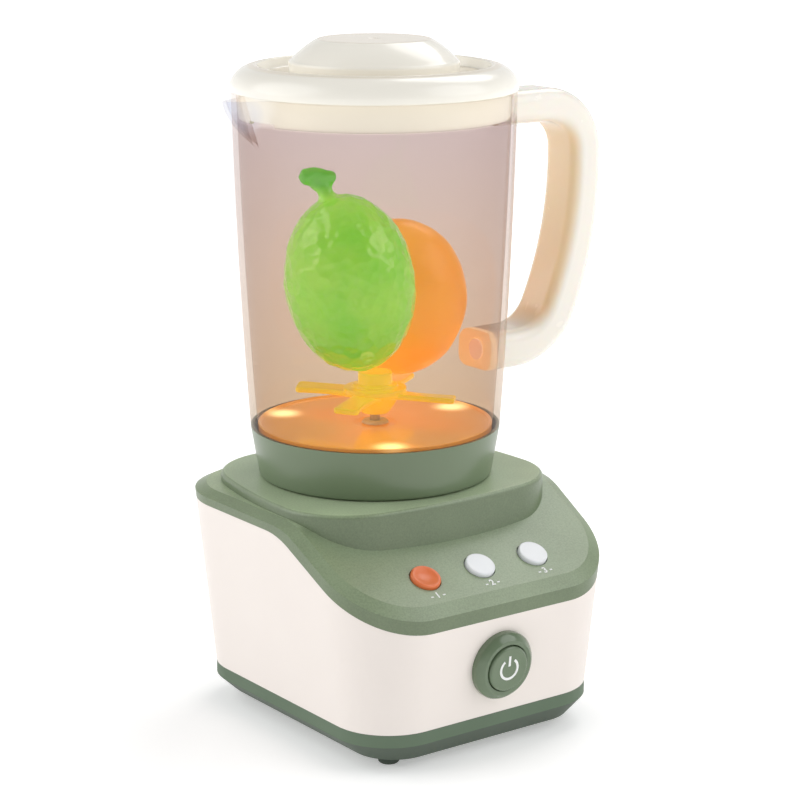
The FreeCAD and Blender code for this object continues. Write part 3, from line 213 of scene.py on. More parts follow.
def feed(tree, socket, value):
    if isinstance(value, bpy.types.NodeSocket):
        tree.links.new(value, socket)
    else:
        socket.default_value = value


def fill(tree, node, **values):
    for label, value in values.items():
        if label in nodeSettings:
            setattr(node, label, value)
        else:
            feed(tree, node.inputs[label.replace("_", " ")], value)
    return node


def addNode(tree, kind, **values):
    return fill(tree, tree.nodes.new(kind), **values)


def ramp(tree, value, low, high, start=0.0, end=1.0, curve="LINEAR"):
    node = addNode(tree, "ShaderNodeMapRange", interpolation_type=curve, Value=value,
                   From_Min=low, From_Max=high, To_Min=start, To_Max=end)
    return node.outputs["Result"]


def blend(tree, share, plain, tone, kind="MIX"):
    node = addNode(tree, "ShaderNodeMix", data_type="RGBA", blend_type=kind)
    for index, value in ((0, share), (6, plain), (7, tone)):
        feed(tree, node.inputs[index], value)
    return node.outputs[2]


def compute(tree, operation, *values, kind="ShaderNodeMath", result="Value"):
    node = addNode(tree, kind, operation=operation)
    for socket, value in zip(node.inputs, values):
        feed(tree, socket, value)
    return node.outputs[result]


def computeVector(tree, operation, *values, result="Vector"):
    return compute(tree, operation, *values, kind="ShaderNodeVectorMath", result=result)


def axisOf(tree, vector, axis):
    return addNode(tree, "ShaderNodeSeparateXYZ", Vector=vector).outputs[axis]


# surface effects that several materials share

def newGroup(name, inputs, outputs):
    group = bpy.data.node_groups.new(name, "ShaderNodeTree")
    for label, kind, default in inputs:
        socket = group.interface.new_socket(label, in_out="INPUT", socket_type=kind)
        if default is not None:
            socket.default_value = default
    for label, kind in outputs:
        group.interface.new_socket(label, in_out="OUTPUT", socket_type=kind)
    return group, group.nodes.new("NodeGroupInput").outputs, group.nodes.new("NodeGroupOutput")


def makeDriftGroup():
    group, given, out = newGroup(
        "toneDrift",
        [("Vector", "NodeSocketVector", None), ("Tone", "NodeSocketColor", (1, 1, 1, 1)),
         ("Second Tone", "NodeSocketColor", (1, 1, 1, 1)), ("Scale", "NodeSocketFloat", 20.0)],
        [("Color", "NodeSocketColor")])
    cloud = addNode(group, "ShaderNodeTexNoise", Vector=given["Vector"], Scale=given["Scale"], Detail=3.0,
                    Roughness=0.55)
    share = ramp(group, cloud.outputs["Fac"], 0.35, 0.68)
    fill(group, out, Color=blend(group, share, given["Tone"], given["Second Tone"]))
    return group


def makeGrainGroup():
    group, given, out = newGroup(
        "mouldGrain",
        [("Vector", "NodeSocketVector", None), ("Grain Scale", "NodeSocketFloat", 1500.0),
         ("Wave Scale", "NodeSocketFloat", 60.0), ("Wave Share", "NodeSocketFloat", 0.2)],
        [("Height", "NodeSocketFloat")])
    grain = addNode(group, "ShaderNodeTexNoise", Vector=given["Vector"], Scale=given["Grain Scale"], Detail=2.0,
                    Roughness=0.6)
    wave = addNode(group, "ShaderNodeTexNoise", Vector=given["Vector"], Scale=given["Wave Scale"], Detail=1.0)
    mix = addNode(group, "ShaderNodeMix", data_type="FLOAT")
    for index, source in ((0, given["Wave Share"]), (2, grain.outputs["Fac"]), (3, wave.outputs["Fac"])):
        feed(group, mix.inputs[index], source)
    fill(group, out, Height=mix.outputs[0])
    return group


# roughness smears from handling, and a mask of sharp edges for a painted edge highlight
def makeMarksAndGlintGroup():
    group, given, out = newGroup(
        "handlingMarksAndEdgeGlint",
        [("Vector", "NodeSocketVector", None), ("Roughness", "NodeSocketFloat", 0.35),
         ("Spread", "NodeSocketFloat", 0.08), ("Scale", "NodeSocketFloat", 35.0)],
        [("Roughness", "NodeSocketFloat"), ("Edge", "NodeSocketFloat")])
    smear = addNode(group, "ShaderNodeTexNoise", Vector=given["Vector"], Scale=given["Scale"], Detail=4.0,
                    Roughness=0.6, Distortion=0.6)
    centred = compute(group, "SUBTRACT", smear.outputs["Fac"], 0.5)
    spread = compute(group, "MULTIPLY", centred, given["Spread"])
    shape = group.nodes.new("ShaderNodeNewGeometry")
    fill(group, out, Roughness=compute(group, "ADD", spread, given["Roughness"]),
         Edge=ramp(group, shape.outputs["Pointiness"], 0.52, 0.62))
    return group


toneDrift = makeDriftGroup()
mouldGrain = makeGrainGroup()
handlingMarksAndEdgeGlint = makeMarksAndGlintGroup()
print("surface groups made")


def startMaterial(name):
    material = bpy.data.materials.new(name)
    material.use_nodes = True
    tree = material.node_tree
    coords = tree.nodes.new("ShaderNodeTexCoord")
    return material, tree, tree.nodes["Principled BSDF"], coords.outputs["Object"]


def useGroup(tree, group, vector, **values):
    node = tree.nodes.new("ShaderNodeGroup")
    node.node_tree = group
    return fill(tree, node, Vector=vector, **values)


def twoTone(tree, vector, tone, second, scale):
    drift = useGroup(tree, toneDrift, vector, Tone=(*tone, 1), Second_Tone=(*second, 1), Scale=scale)
    return drift.outputs["Color"]


def addBump(tree, shader, height, strength, distance):
    bump = addNode(tree, "ShaderNodeBump", Strength=strength, Distance=distance * mm, Height=height)
    fill(tree, shader, Normal=bump.outputs["Normal"])


def addGrain(tree, shader, vector, strength, distance, **values):
    height = useGroup(tree, mouldGrain, vector, **values).outputs["Height"]
    addBump(tree, shader, height, strength, distance)
    return height


# materials: grain and depth are in mm, shine is the index of refraction, edge is the strength of a painted
# highlight along sharp edges

def plastic(name, tone, second, roughness=0.35, spread=0.1, grain=0.25, depth=0.03, edge=0.12,
            coat=0.0, speckle=0.0, shine=1.49):
    material, tree, shader, vector = startMaterial(name)
    drift = twoTone(tree, vector, tone, second, 18.0)
    marks = useGroup(tree, handlingMarksAndEdgeGlint, vector, Roughness=roughness, Spread=spread)
    # painted highlight: sharp edges are screened lighter by the edge share
    edgeGlintShare = compute(tree, "MULTIPLY", marks.outputs["Edge"], edge)
    lighter = blend(tree, edgeGlintShare, drift, (0.5, 0.5, 0.5, 1), "SCREEN")
    height = addGrain(tree, shader, vector, 0.5, depth, Grain_Scale=1 / (grain * mm), Wave_Share=0.25)
    freckles = ramp(tree, height, 0.36, 0.64, 1 - speckle, 1 + speckle)
    fill(tree, shader, Base_Color=blend(tree, 1.0, lighter, freckles, "MULTIPLY"),
         Roughness=marks.outputs["Roughness"], IOR=shine, Coat_Weight=coat)
    return material


def steel(name, tone, roughness=0.3, brush=(40, 40, 900)):
    material, tree, shader, vector = startMaterial(name)
    stretch = addNode(tree, "ShaderNodeMapping", Vector=vector, Scale=brush)
    lines = addNode(tree, "ShaderNodeTexNoise", Vector=stretch.outputs["Vector"], Scale=4.0, Detail=4.0)
    drift = twoTone(tree, vector, tone, [0.8 * share for share in tone], 120.0)
    shine = ramp(tree, lines.outputs["Fac"], 0.0, 1.0, roughness - 0.08, roughness + 0.12)
    addBump(tree, shader, lines.outputs["Fac"], 0.3, 0.02)
    fill(tree, shader, Base_Color=drift, Roughness=shine, Metallic=1.0)
    return material


# the clear wall: a tint that changes with height, at the rim, at the spout and towards its outline; the warmth
# low down is painted glow from the amber floor, the spout's bluish tint a painted refraction sheen and the
# darkening at the outline painted shade
clearStyle = {"upper": (0.745, 0.665, 0.655), "lower": (0.76, 0.64, 0.51), "low": 118.0, "high": 235.0,
              "rim": (0.98, 0.96, 0.92), "rimLow": 237.4, "rimHigh": 239.0, "spout": (0.86, 0.88, 0.94),
              "spoutSide": 65.0, "spoutZ": 243.0, "spoutNear": 8.0, "spoutFar": 12.0,
              "outline": (0.78, 0.72, 0.70), "roughness": 0.03}


def makeClearJar():
    c = clearStyle
    material, tree, shader, vector = startMaterial("clearJar")
    marks = useGroup(tree, handlingMarksAndEdgeGlint, vector, Roughness=c["roughness"], Spread=0.03, Scale=25.0)
    height = axisOf(tree, vector, "Z")
    # painted light: the lower tint is warmer, standing in for the amber floor's glow
    tint = blend(tree, ramp(tree, height, c["low"] * mm, c["high"] * mm), (*c["lower"], 1), (*c["upper"], 1))
    tint = blend(tree, ramp(tree, height, c["rimLow"] * mm, c["rimHigh"] * mm), tint, (*c["rim"], 1))
    # painted refraction sheen: the wall turns bluish white near the spout
    spout = Vector((jarAxis.x - c["spoutSide"], jarAxis.y, c["spoutZ"])) * mm
    gap = computeVector(tree, "DISTANCE", vector, spout, result="Value")
    spoutSheen = ramp(tree, gap, c["spoutNear"] * mm, c["spoutFar"] * mm, 1.0, 0.0)
    tint = blend(tree, spoutSheen, tint, (*c["spout"], 1))
    # painted shade: the tint darkens where the wall is seen edge-on
    outline = addNode(tree, "ShaderNodeLayerWeight", Blend=0.3)
    tint = blend(tree, outline.outputs["Facing"], tint, (*c["outline"], 1), "MULTIPLY")
    addGrain(tree, shader, vector, 0.15, 0.1, Grain_Scale=300.0, Wave_Scale=30.0, Wave_Share=0.85)
    fill(tree, shader, Base_Color=tint, Roughness=marks.outputs["Roughness"], Transmission_Weight=1.0,
         IOR=1.0, Coat_Weight=0.45, Coat_IOR=1.45)
    return material


# additions to a finished material that paint light and shade by the way a face points; low and high are shares
# of the surface normal along an axis

def paintLightShadeByFacing(material, tone, axis, low, high, most=1.0, kind="MIX"):
    tree = material.node_tree
    shader = tree.nodes["Principled BSDF"]
    plain = shader.inputs["Base Color"].links[0].from_socket
    normal = tree.nodes.new("ShaderNodeNewGeometry").outputs["Normal"]
    facing = ramp(tree, axisOf(tree, normal, axis), low, high, 0.0, most, "SMOOTHSTEP")
    fill(tree, shader, Base_Color=blend(tree, facing, plain, (*tone, 1), kind))


# paints light and shade on faces by how far they point up
def paintLightShadeByZ(material, tone, low=0.25, high=0.85):
    paintLightShadeByFacing(material, tone, "Z", low, high, kind="MULTIPLY")


# painted warm light: faces pointing to -X, towards the jar, turn peach; the subsurface is the plastic's own
def paintWarmLightSide(material, tone, most):
    paintLightShadeByFacing(material, tone, "X", -0.15, -0.85, most)
    fill(material.node_tree, material.node_tree.nodes["Principled BSDF"], Subsurface_Weight=0.25,
         Subsurface_Radius=(1.0, 0.55, 0.3), Subsurface_Scale=8 * mm)


# painted light: self-glow within a distance of the jar's centre line, for the studs and the handle's root,
# which are no lamps
def paintGlowNearJar(material, tone, strength, reach):
    tree = material.node_tree
    coords = tree.nodes.new("ShaderNodeTexCoord")
    centre = Vector((jarAxis.x, jarAxis.y, 0)) * mm
    spread = computeVector(tree, "SUBTRACT", coords.outputs["Object"], centre)
    flat = computeVector(tree, "MULTIPLY", spread, (1, 1, 0))
    away = computeVector(tree, "LENGTH", flat, result="Value")
    near = ramp(tree, away, reach * mm, (reach + 1.5) * mm, 1.0, 0.0)
    fill(tree, tree.nodes["Principled BSDF"], Emission_Color=blend(tree, near, (0, 0, 0, 1), (*tone, 1)),
         Emission_Strength=strength)


finishes = {
    "cream": plastic("creamShell", (0.90, 0.83, 0.78), (0.885, 0.815, 0.765), roughness=0.38, grain=0.5,
                     depth=0.012, edge=0.0),
    "sage": plastic("sagePanel", (0.155, 0.205, 0.114), (0.145, 0.195, 0.106), roughness=0.36, grain=0.7,
                    depth=0.09, edge=0.0, speckle=0.11, shine=1.62),
    "sageDark": plastic("sageFoot", (0.066, 0.093, 0.064), (0.060, 0.086, 0.058), roughness=0.55, grain=0.4,
                        depth=0.03, edge=0.0),
    "collarSage": plastic("sageCollar", (0.160, 0.215, 0.125), (0.152, 0.205, 0.118), roughness=0.28,
                          spread=0.015, grain=0.4, depth=0.015, edge=0.0, shine=1.6),
    "sageGloss": plastic("sageButton", (0.142, 0.200, 0.118), (0.135, 0.191, 0.111), roughness=0.2,
                         depth=0.005, coat=0.3),
    "orangeButton": plastic("orangeButton", (0.86, 0.21, 0.07), (0.83, 0.19, 0.06), roughness=0.3, depth=0.01),
    "whiteButton": plastic("whiteButton", (0.88, 0.90, 0.93), (0.86, 0.88, 0.91), roughness=0.25, depth=0.006),
    "lid": plastic("lidCream", (0.975, 0.945, 0.855), (0.965, 0.93, 0.84), roughness=0.24, grain=0.6,
                   depth=0.008, coat=0.3),
    "handle": plastic("handleCream", (0.95, 0.905, 0.825), (0.935, 0.89, 0.81), roughness=0.26, grain=0.6,
                      depth=0.008, coat=0.3),
    "jar": makeClearJar(),
    "peg": plastic("pegPink", (0.88, 0.70, 0.60), (0.86, 0.68, 0.58), roughness=0.3, depth=0.006),
    "natural": plastic("naturalNylon", (0.80, 0.78, 0.70), (0.77, 0.74, 0.66), roughness=0.45),
    "rubber": plastic("softFeet", (0.05, 0.07, 0.05), (0.045, 0.06, 0.045), roughness=0.7, depth=0.03),
    "black": plastic("blackParts", (0.02, 0.02, 0.022), (0.03, 0.03, 0.03), roughness=0.5),
    "board": plastic("boardLaminate", (0.02, 0.12, 0.05), (0.03, 0.16, 0.07), roughness=0.35, depth=0.01),
    "cell": plastic("cellWrap", (0.06, 0.07, 0.09), (0.10, 0.11, 0.13), roughness=0.3, depth=0.01, coat=0.4),
    "steel": steel("platedSteel", (0.62, 0.62, 0.60)),
    "nickel": steel("nickelContacts", (0.70, 0.68, 0.62), roughness=0.22),
    "paint": plastic("whitePrint", (0.90, 0.91, 0.90), (0.86, 0.87, 0.86), roughness=0.4, depth=0.004),
}
# painted light: the panel's slope and its level top turn paler, like the foot's upright walls
# painted shade makes the lid's level faces darker and warmer; painted warm light turns the handle's left side
# warmer
paintLightShadeByZ(finishes["sage"], (1.75, 1.68, 1.85))
paintLightShadeByZ(finishes["sage"], (1.8, 1.73, 1.85), 0.91, 0.98)
paintLightShadeByZ(finishes["sageDark"], (1.75, 1.85, 1.7), -0.45, -0.12)
paintLightShadeByZ(finishes["lid"], (0.90, 0.84, 0.77), 0.93, 0.99)
paintWarmLightSide(finishes["handle"], (0.98, 0.76, 0.48), 0.75)
# painted light: the handle's root and the peg glow warm near the jar
paintGlowNearJar(finishes["handle"], (1.0, 0.80, 0.46), 0.95, 54.0)
paintGlowNearJar(finishes["peg"], (0.95, 0.72, 0.60), 0.6, 60.0)
print("finishes made")


# amber floor: glows where the three lights shine up through it

lights = {"ring": 40.0, "z": 115.3, "turn": 3.0, "count": 3, "spot": 20.0, "falloff": 6.0, "strength": 2.2,
          "centre": (1.0, 0.80, 0.42), "haze": (1.0, 0.40, 0.08), "hazeShare": 0.16}


def makeAmberFloor():
    material, tree, shader, vector = startMaterial("amberFloor")
    glow = None
    for i in range(lights["count"]):
        angle = math.radians(lights["turn"] + 360 * i / lights["count"])
        side, back = lights["ring"] * math.cos(angle), lights["ring"] * math.sin(angle)
        spot = Vector((jarAxis.x + side, jarAxis.y + back, lights["z"])) * mm
        away = computeVector(tree, "DISTANCE", vector, spot, result="Value")
        fade = ramp(tree, away, 0.0, lights["spot"] * mm, 1.0, 0.0, "SMOOTHERSTEP")
        glow = fade if glow is None else compute(tree, "MAXIMUM", glow, fade)
    falloff = compute(tree, "POWER", glow, lights["falloff"])
    haze = [share * lights["hazeShare"] for share in lights["haze"]]
    warm = blend(tree, falloff, (*haze, 1), (*lights["centre"], 1))
    addGrain(tree, shader, vector, 0.4, 0.1, Grain_Scale=700.0, Wave_Scale=90.0, Wave_Share=0.6)
    fill(tree, shader, Base_Color=twoTone(tree, vector, (0.97, 0.60, 0.18), (0.93, 0.52, 0.13), 40.0),
         Roughness=0.18, Coat_Weight=0.5, Emission_Color=warm, Emission_Strength=lights["strength"])
    return material


def makeYellowRotor():
    material, tree, shader, vector = startMaterial("yellowRotor")
    drift = twoTone(tree, vector, (1.0, 0.78, 0.06), (1.0, 0.68, 0.04), 45.0)
    marks = useGroup(tree, handlingMarksAndEdgeGlint, vector, Roughness=0.16, Spread=0.06)
    addGrain(tree, shader, vector, 0.3, 0.05, Grain_Scale=500.0, Wave_Share=0.7)
    # painted light: the rotor glows with its own tones though it is no lamp
    fill(tree, shader, Base_Color=drift, Roughness=marks.outputs["Roughness"], Coat_Weight=0.5,
         Emission_Color=drift, Emission_Strength=0.36, Subsurface_Weight=0.1,
         Subsurface_Radius=(1.0, 0.5, 0.1), Subsurface_Scale=4 * mm)
    return material


def makeLensGlow():
    material, tree, shader, vector = startMaterial("lightLens")
    drift = twoTone(tree, vector, (1.0, 0.86, 0.6), (1.0, 0.8, 0.5), 300.0)
    fill(tree, shader, Base_Color=drift, Emission_Color=drift, Emission_Strength=3.0)
    return material


# jar, its collar and floor

jarStyle = {"collarTop": 115.35, "collarRadius": 49.85, "rimRadius": 55.65, "bow": 2570.0, "wall": 2.0,
            "shelf": 113.5, "floorRadius": 46.9, "step": 110.4}
spoutStyle = {"foot": 230.5, "half": 15.0, "taper": 0.2, "reach": 69.3, "root": 47.0, "sweep": 0.094,
              "power": 1.74, "nose": 0.2, "wall": 1.7, "blend": 8.0, "fade": 6.0, "from": 30.0, "soft": 1.4}


def jarRadius(z):
    s = jarStyle
    share = (z - s["collarTop"]) / (jarTop - s["collarTop"])
    sag = (jarTop - s["collarTop"]) ** 2 / (8 * s["bow"])
    return s["collarRadius"] + (s["rimRadius"] - s["collarRadius"]) * share + 4 * sag * share * (1 - share)


def spoutReach(z, across, inset):
    s = spoutStyle
    share = (z - s["foot"]) / (jarTop - s["foot"])
    half = s["half"] * max(s["taper"] + (1 - s["taper"]) * share, 0.05) - inset
    tip = s["reach"] - inset - s["sweep"] * max(jarTop - z, 0) ** s["power"]
    length = (tip - s["root"]) / (1 - s["nose"])
    return s["root"] + length * (1 - math.hypot(across / max(half, 0.5), s["nose"]))


def pullSpout(piece):
    s = spoutStyle
    for corner in piece.data.vertices:
        x = jarAxis.x - corner.co.x / mm
        y = corner.co.y / mm - jarAxis.y
        z = corner.co.z / mm
        if x < s["from"] or z < s["foot"] - s["blend"]:
            continue
        inner = math.hypot(x, y) < jarRadius(z) - jarStyle["wall"] / 2
        reach = spoutReach(z, abs(y), s["wall"] if inner else 0.0)
        fade = min(max((z - s["foot"] + s["blend"]) / s["fade"], 0), 1)
        gap = x - reach
        grown = (x + reach + math.sqrt(gap * gap + s["soft"] * s["soft"])) / 2
        corner.co.x = (jarAxis.x - (x + max(grown - x, 0) * fade)) * mm


def makeJar():
    s = jarStyle
    bow, wall, rim, collar = s["bow"], s["wall"], s["rimRadius"], s["collarRadius"]
    foot = spoutStyle["foot"] - 4
    inner = jarRadius(foot) - wall - 0.2
    ledge = s["floorRadius"] - 1.3
    piece = turned("jarWall", [
        (ledge, s["step"]), (collar - 2.2, s["step"]), (collar - 1.5, s["collarTop"]),
        (collar, s["collarTop"], bow), (jarRadius(foot), foot, bow), (rim - 0.05, jarTop - 0.5, 0.7),
        (rim - 0.6, jarTop), (rim - wall + 0.5, jarTop, 0.6), (rim - wall, jarTop - 0.5, -bow),
        (inner, foot, -bow), (s["floorRadius"] + 0.1, s["shelf"]), (ledge, s["shelf"]),
    ], segments=320, steps=14, edge=0)
    place(piece, jarAxis.x, jarAxis.y)
    pullSpout(piece)
    smooth(piece, 50)
    dress(piece, "jar", "clear_jar", finishes["jar"], "jar")


# the two studs that the handle sits on

studStyle = {"pegZ": 138.4, "pegRadius": 4.3, "pegLength": 6.0, "pegBevel": 0.4, "pegSunk": 0.6,
             "pegPlay": 0.05, "lugZ": 237.4, "lugReach": 8, "lugHalf": 4, "lugWide": 10, "lugSunk": 0.4,
             "lugRound": 0.8}


def placePeg(piece, sunk):
    place(piece, jarAxis.x + jarRadius(studStyle["pegZ"]) - sunk, jarAxis.y, studStyle["pegZ"], lean=90)


def makeHandleStuds():
    s = studStyle
    radius, end, bevel = s["pegRadius"], s["pegLength"], s["pegBevel"]
    peg = turned("handlePeg", [(0, 0), (radius, 0), (radius, end - bevel), (radius - bevel, end), (0, end)],
                 segments=64, edge=0)
    placePeg(peg, s["pegSunk"])
    dress(peg, "jar", "clear_jar", finishes["peg"])
    reach, half, wide = s["lugReach"], s["lugHalf"], s["lugWide"]
    lug = slab("handleLug", [(0, -half), (reach, -half), (reach, half), (0, half)], wide, flat=False)
    roundEdges(lug, s["lugRound"])
    smooth(lug)
    place(lug, jarAxis.x + jarRadius(s["lugZ"]) - s["lugSunk"], jarAxis.y - wide / 2, s["lugZ"])
    dress(lug, "jar", "clear_jar", finishes["jar"])


def makeCollar():
    s = jarStyle
    low, top, radius = collarLow.z / mm, s["collarTop"] - 0.05, s["collarRadius"]
    piece = turned("jarCollar", [
        (44.6, low), (45.6, low, 1.3), (46.8, low + 1.3), (radius, top), (radius - 1.45, top),
        (radius - 2.15, s["step"]), (s["floorRadius"] - 1.4, s["step"]), (44.9, low + 2.5),
    ], segments=160, edge=0.2)
    place(piece, jarAxis.x, jarAxis.y)
    dress(piece, "jar", "sage_dark", finishes["collarSage"], "jar_collar")


floorStyle = {"bore": 3.62, "boss": 6.5, "bossDepth": 5.5, "thick": 1.75, "dish": 1.3, "rim": 2.7}


def makeFloor():
    f = floorStyle
    shelf, radius = jarStyle["shelf"], jarStyle["floorRadius"]
    piece = turned("jarFloor", [
        (f["bore"], shelf - f["bossDepth"]), (f["boss"], shelf - f["bossDepth"]), (7, shelf), (radius, shelf),
        (radius, shelf + 2.5), (radius - 0.5, shelf + f["rim"]), (radius - 1.5, shelf + f["thick"]),
        (9, shelf + f["thick"]), (8.2, shelf + f["dish"]), (f["bore"], shelf + f["dish"]),
    ], segments=160, edge=0.15)
    place(piece, jarAxis.x, jarAxis.y)
    dress(piece, "jar", "amber", makeAmberFloor(), "jar_floor")


# handle: one outline of tangent arcs, rounded along its edges and cut to the jar

handleStyle = {"root": 47.0, "top": 244.1, "reach": 109.3, "crown": 27.5, "back": 154.8, "backZ": 211.1,
               "heel": 34.1, "foot": 130.3, "thick": 15.0, "gripTop": 230.5, "gripCrown": 13.2,
               "gripBack": 140.5, "gripLift": 3.0, "gripHeel": 16.1, "gripFoot": 146.3, "width": 21.9,
               "round": 5.2, "holeDepth": 12.0, "holeSunk": 5.0}


def makeHandle():
    h = handleStyle
    root, reach, foot, gripFoot = h["root"], h["reach"], h["foot"], h["gripFoot"]
    rise = foot + h["heel"] - h["backZ"]
    run = math.sqrt((h["back"] - h["heel"]) ** 2 - rise ** 2)
    share = h["back"] / (h["back"] - h["heel"])
    backX = reach - h["back"]
    grip = reach - h["thick"]
    gripZ = h["backZ"] + h["gripLift"]
    gripRise = gripFoot + h["gripHeel"] - gripZ
    gripRun = math.sqrt((h["gripBack"] - h["gripHeel"]) ** 2 - gripRise ** 2)
    gripShare = h["gripBack"] / (h["gripBack"] - h["gripHeel"])
    gripX = grip - h["gripBack"]
    piece = slab("handleGrip", [
        (root, h["top"]), (reach - h["crown"], h["top"], -h["crown"]), (reach, h["top"] - h["crown"]),
        (reach, h["backZ"], -h["back"]), (backX + run * share, h["backZ"] + rise * share, -h["heel"]),
        (backX + run, foot), (root, foot), (root, gripFoot), (gripX + gripRun, gripFoot, h["gripHeel"]),
        (gripX + gripRun * gripShare, gripZ + gripRise * gripShare, h["gripBack"]), (grip, gripZ),
        (grip, h["gripTop"] - h["gripCrown"], h["gripCrown"]), (grip - h["gripCrown"], h["gripTop"]),
        (root, h["gripTop"]),
    ], h["width"], flat=False, steps=20)
    roundEdges(piece, h["round"], segments=7, sharpest=60)
    smooth(piece, 40)
    place(piece, jarAxis.x, jarAxis.y - h["width"] / 2)
    carve(piece, jarCore())
    bore, depth = studStyle["pegRadius"] + studStyle["pegPlay"], h["holeDepth"]
    hole = turned("pegHole", [(0, 0), (bore, 0), (bore, depth), (0, depth)], segments=64, edge=0)
    placePeg(hole, h["holeSunk"])
    carve(piece, hole)
    smooth(piece, 40)
    dress(piece, "jar", "handle_cream", finishes["handle"], "handle")


def jarCore(play=0.04):
    s = jarStyle
    radius, top = s["collarRadius"], s["collarTop"]
    core = turned("jarCore", [
        (0, top - 1), (radius, top - 1), (radius + play, top, s["bow"]), (s["rimRadius"] + play, jarTop),
        (0, jarTop),
    ], segments=320, steps=24, edge=0)
    place(core, jarAxis.x, jarAxis.y)
    return core


# lid and its cap

lidStyle = {"skirt": 52.9, "skirtWall": 1.9, "skirtZ": 237.9, "flange": 56.2, "flangeZ": 248.65, "crown": 46.8,
            "crownZ": 258.2, "hole": 31.6, "recessZ": 253.72, "notchHalf": 8.5, "notchDepth": 2.4,
            "notchZ": 236.8}


def makeLid():
    s = lidStyle
    skirt, flange = s["skirt"], s["flange"]
    inner = skirt - s["skirtWall"]
    piece = turned("lidShell", [
        (inner, s["skirtZ"]), (skirt, s["skirtZ"]), (skirt, s["flangeZ"]), (flange, s["flangeZ"]),
        (flange, 250.6, 10.0), (s["crown"], s["crownZ"], 0.9), (45.4, 257.4), (44.6, 255.0, -1.0),
        (43.6, 254.4), (34.0, s["recessZ"]), (s["hole"], s["recessZ"]), (s["hole"], 251.8), (45.0, 252.5),
        (46.6, 255.9), (50.0, 254.2), (inner, 250.5),
    ], segments=192, steps=12, edge=0.35)
    place(piece, jarAxis.x, jarAxis.y)
    half = s["notchHalf"]
    notch = slab("pourNotch", [(-8, -half), (8, -half), (8, half), (-8, half)], s["notchDepth"])
    roundEdges(notch, 0.8)
    place(notch, jarAxis.x - skirt, jarAxis.y, s["notchZ"])
    carve(piece, notch)
    smooth(piece, 35)
    dress(piece, "lid", "lid_cream", finishes["lid"], "lid")


capStyle = {"plug": 31.3, "plugWall": 1.9, "foot": 250.0, "seat": 253.75, "radius": 33.2, "shoulder": 258.7,
            "top": 268.1, "dish": 267.75, "under": 266.0}


def makeLidCap():
    c = capStyle
    inner = c["plug"] - c["plugWall"]
    piece = turned("lidCap", [
        (inner, c["foot"]), (c["plug"], c["foot"]), (c["plug"], c["seat"]), (c["radius"], c["seat"]),
        (c["radius"], c["shoulder"], 1.6), (32.3, 260.2, 40.0), (22.6, c["dish"], 3.0), (21.4, c["top"]),
        (2.4, c["top"]), (2.2, c["dish"]), (0, c["dish"]), (0, c["under"]), (21.1, c["under"] - 0.05, -40.0),
        (inner, 259.1),
    ], segments=160, steps=10, edge=0.2)
    place(piece, jarAxis.x, jarAxis.y)
    dress(piece, "lid", "lid_cream", finishes["lid"], "lid_cap")


# rotor: turned hub and four curved, pitched blades

rotorStyle = {"foot": 122.4, "cone": 3.0, "top": 136.2, "flange": 12.6, "cap": 6.9, "count": 4, "reach": 34.6,
              "bladeZ": 126.0, "thick": 2.2, "pitch": -4.0, "turn": 34.2}


def makeRotor():
    r = rotorStyle
    foot, top, flange, cap, reach = r["foot"], r["top"], r["flange"], r["cap"], r["reach"]
    piece = turned("rotorHub", [
        (0, foot - r["cone"]), (5.4, foot - r["cone"]), (7.6, foot), (9.8, foot + 4), (9.8, foot + 5.1),
        (flange, foot + 5.3), (flange, foot + 7.5), (9.2, foot + 7.8), (9, foot + 8.8), (cap, foot + 9),
        (cap, top - 0.9, 0.9), (6.0, top), (0, top),
    ], segments=96, edge=0.45)
    for i in range(r["count"]):
        blade = slab("rotorBlade", [
            (6, -5.2), (reach - 2, -5.2, 2.0), (reach - 0.2, -3.4), (reach - 1.6, 3.2, 2.0),
            (reach - 3.6, 4.6, -48), (6, 6.2),
        ], r["thick"])
        roundEdges(blade, 0.7)
        place(blade, z=r["bladeZ"], tilt=r["pitch"])
        place(blade, turn=360 / r["count"] * i)
        pickUp(piece)
        blade.select_set(True)
        bpy.ops.object.join()
    smooth(piece)
    place(piece, jarAxis.x, jarAxis.y, turn=r["turn"])
    dress(piece, "rotor", "yellow", makeYellowRotor(), "blade_rotor")


# base housing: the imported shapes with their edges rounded

housing = (("topCover", "top_cover", 0.35, "sage", "sage"), ("shellWalls", "shell", 0.15, "cream", "cream"),
           ("footBand", "base_plate", 0.4, "sage_dark", "sageDark"),
           ("batteryDoor", "battery_door", 0.25, "door", "sageDark"))


def makeHousing():
    for name, node, edge, slotName, finish in housing:
        dress(moulded(name, node, edge), "base", slotName, finishes[finish], node)


footStyle = {"radius": 4.1, "sole": 3.8, "bevel": 0.6, "stem": 1.95, "stemLength": 2.9}


def makeFeet():
    s = footStyle
    low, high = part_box("feet")
    radius, sole, stemTop = s["radius"], s["sole"], s["sole"] + s["stemLength"]
    reachX, reachY = (high.x - low.x) / 2 / mm - radius, (high.y - low.y) / 2 / mm - radius
    for i, (sideX, sideY) in enumerate(((-1, -1), (1, -1), (1, 1), (-1, 1))):
        foot = turned(f"foot{i}", [
            (0, 0), (radius - s["bevel"], 0), (radius, s["bevel"]), (radius, sole), (s["stem"], sole),
            (s["stem"], stemTop), (0, stemTop),
        ], segments=48, edge=0.25)
        place(foot, baseMiddle.x + sideX * reachX, baseMiddle.y + sideY * reachY)
        dress(foot, "base", "rubber", finishes["rubber"], *(("feet",) if i == 0 else ()))


# panel buttons and the power button

panelStyle = {"angle": 27.7, "frontY": -68.0, "frontZ": 64.0, "buttonY": -52.6, "pitch": 26.0, "radius": 6.0,
              "rise": 1.5}


def onPanel(y, lift=0.0):
    slope = math.radians(panelStyle["angle"])
    z = panelStyle["frontZ"] + (y - panelStyle["frontY"]) * math.tan(slope)
    return y - lift * math.sin(slope), z + lift * math.cos(slope)


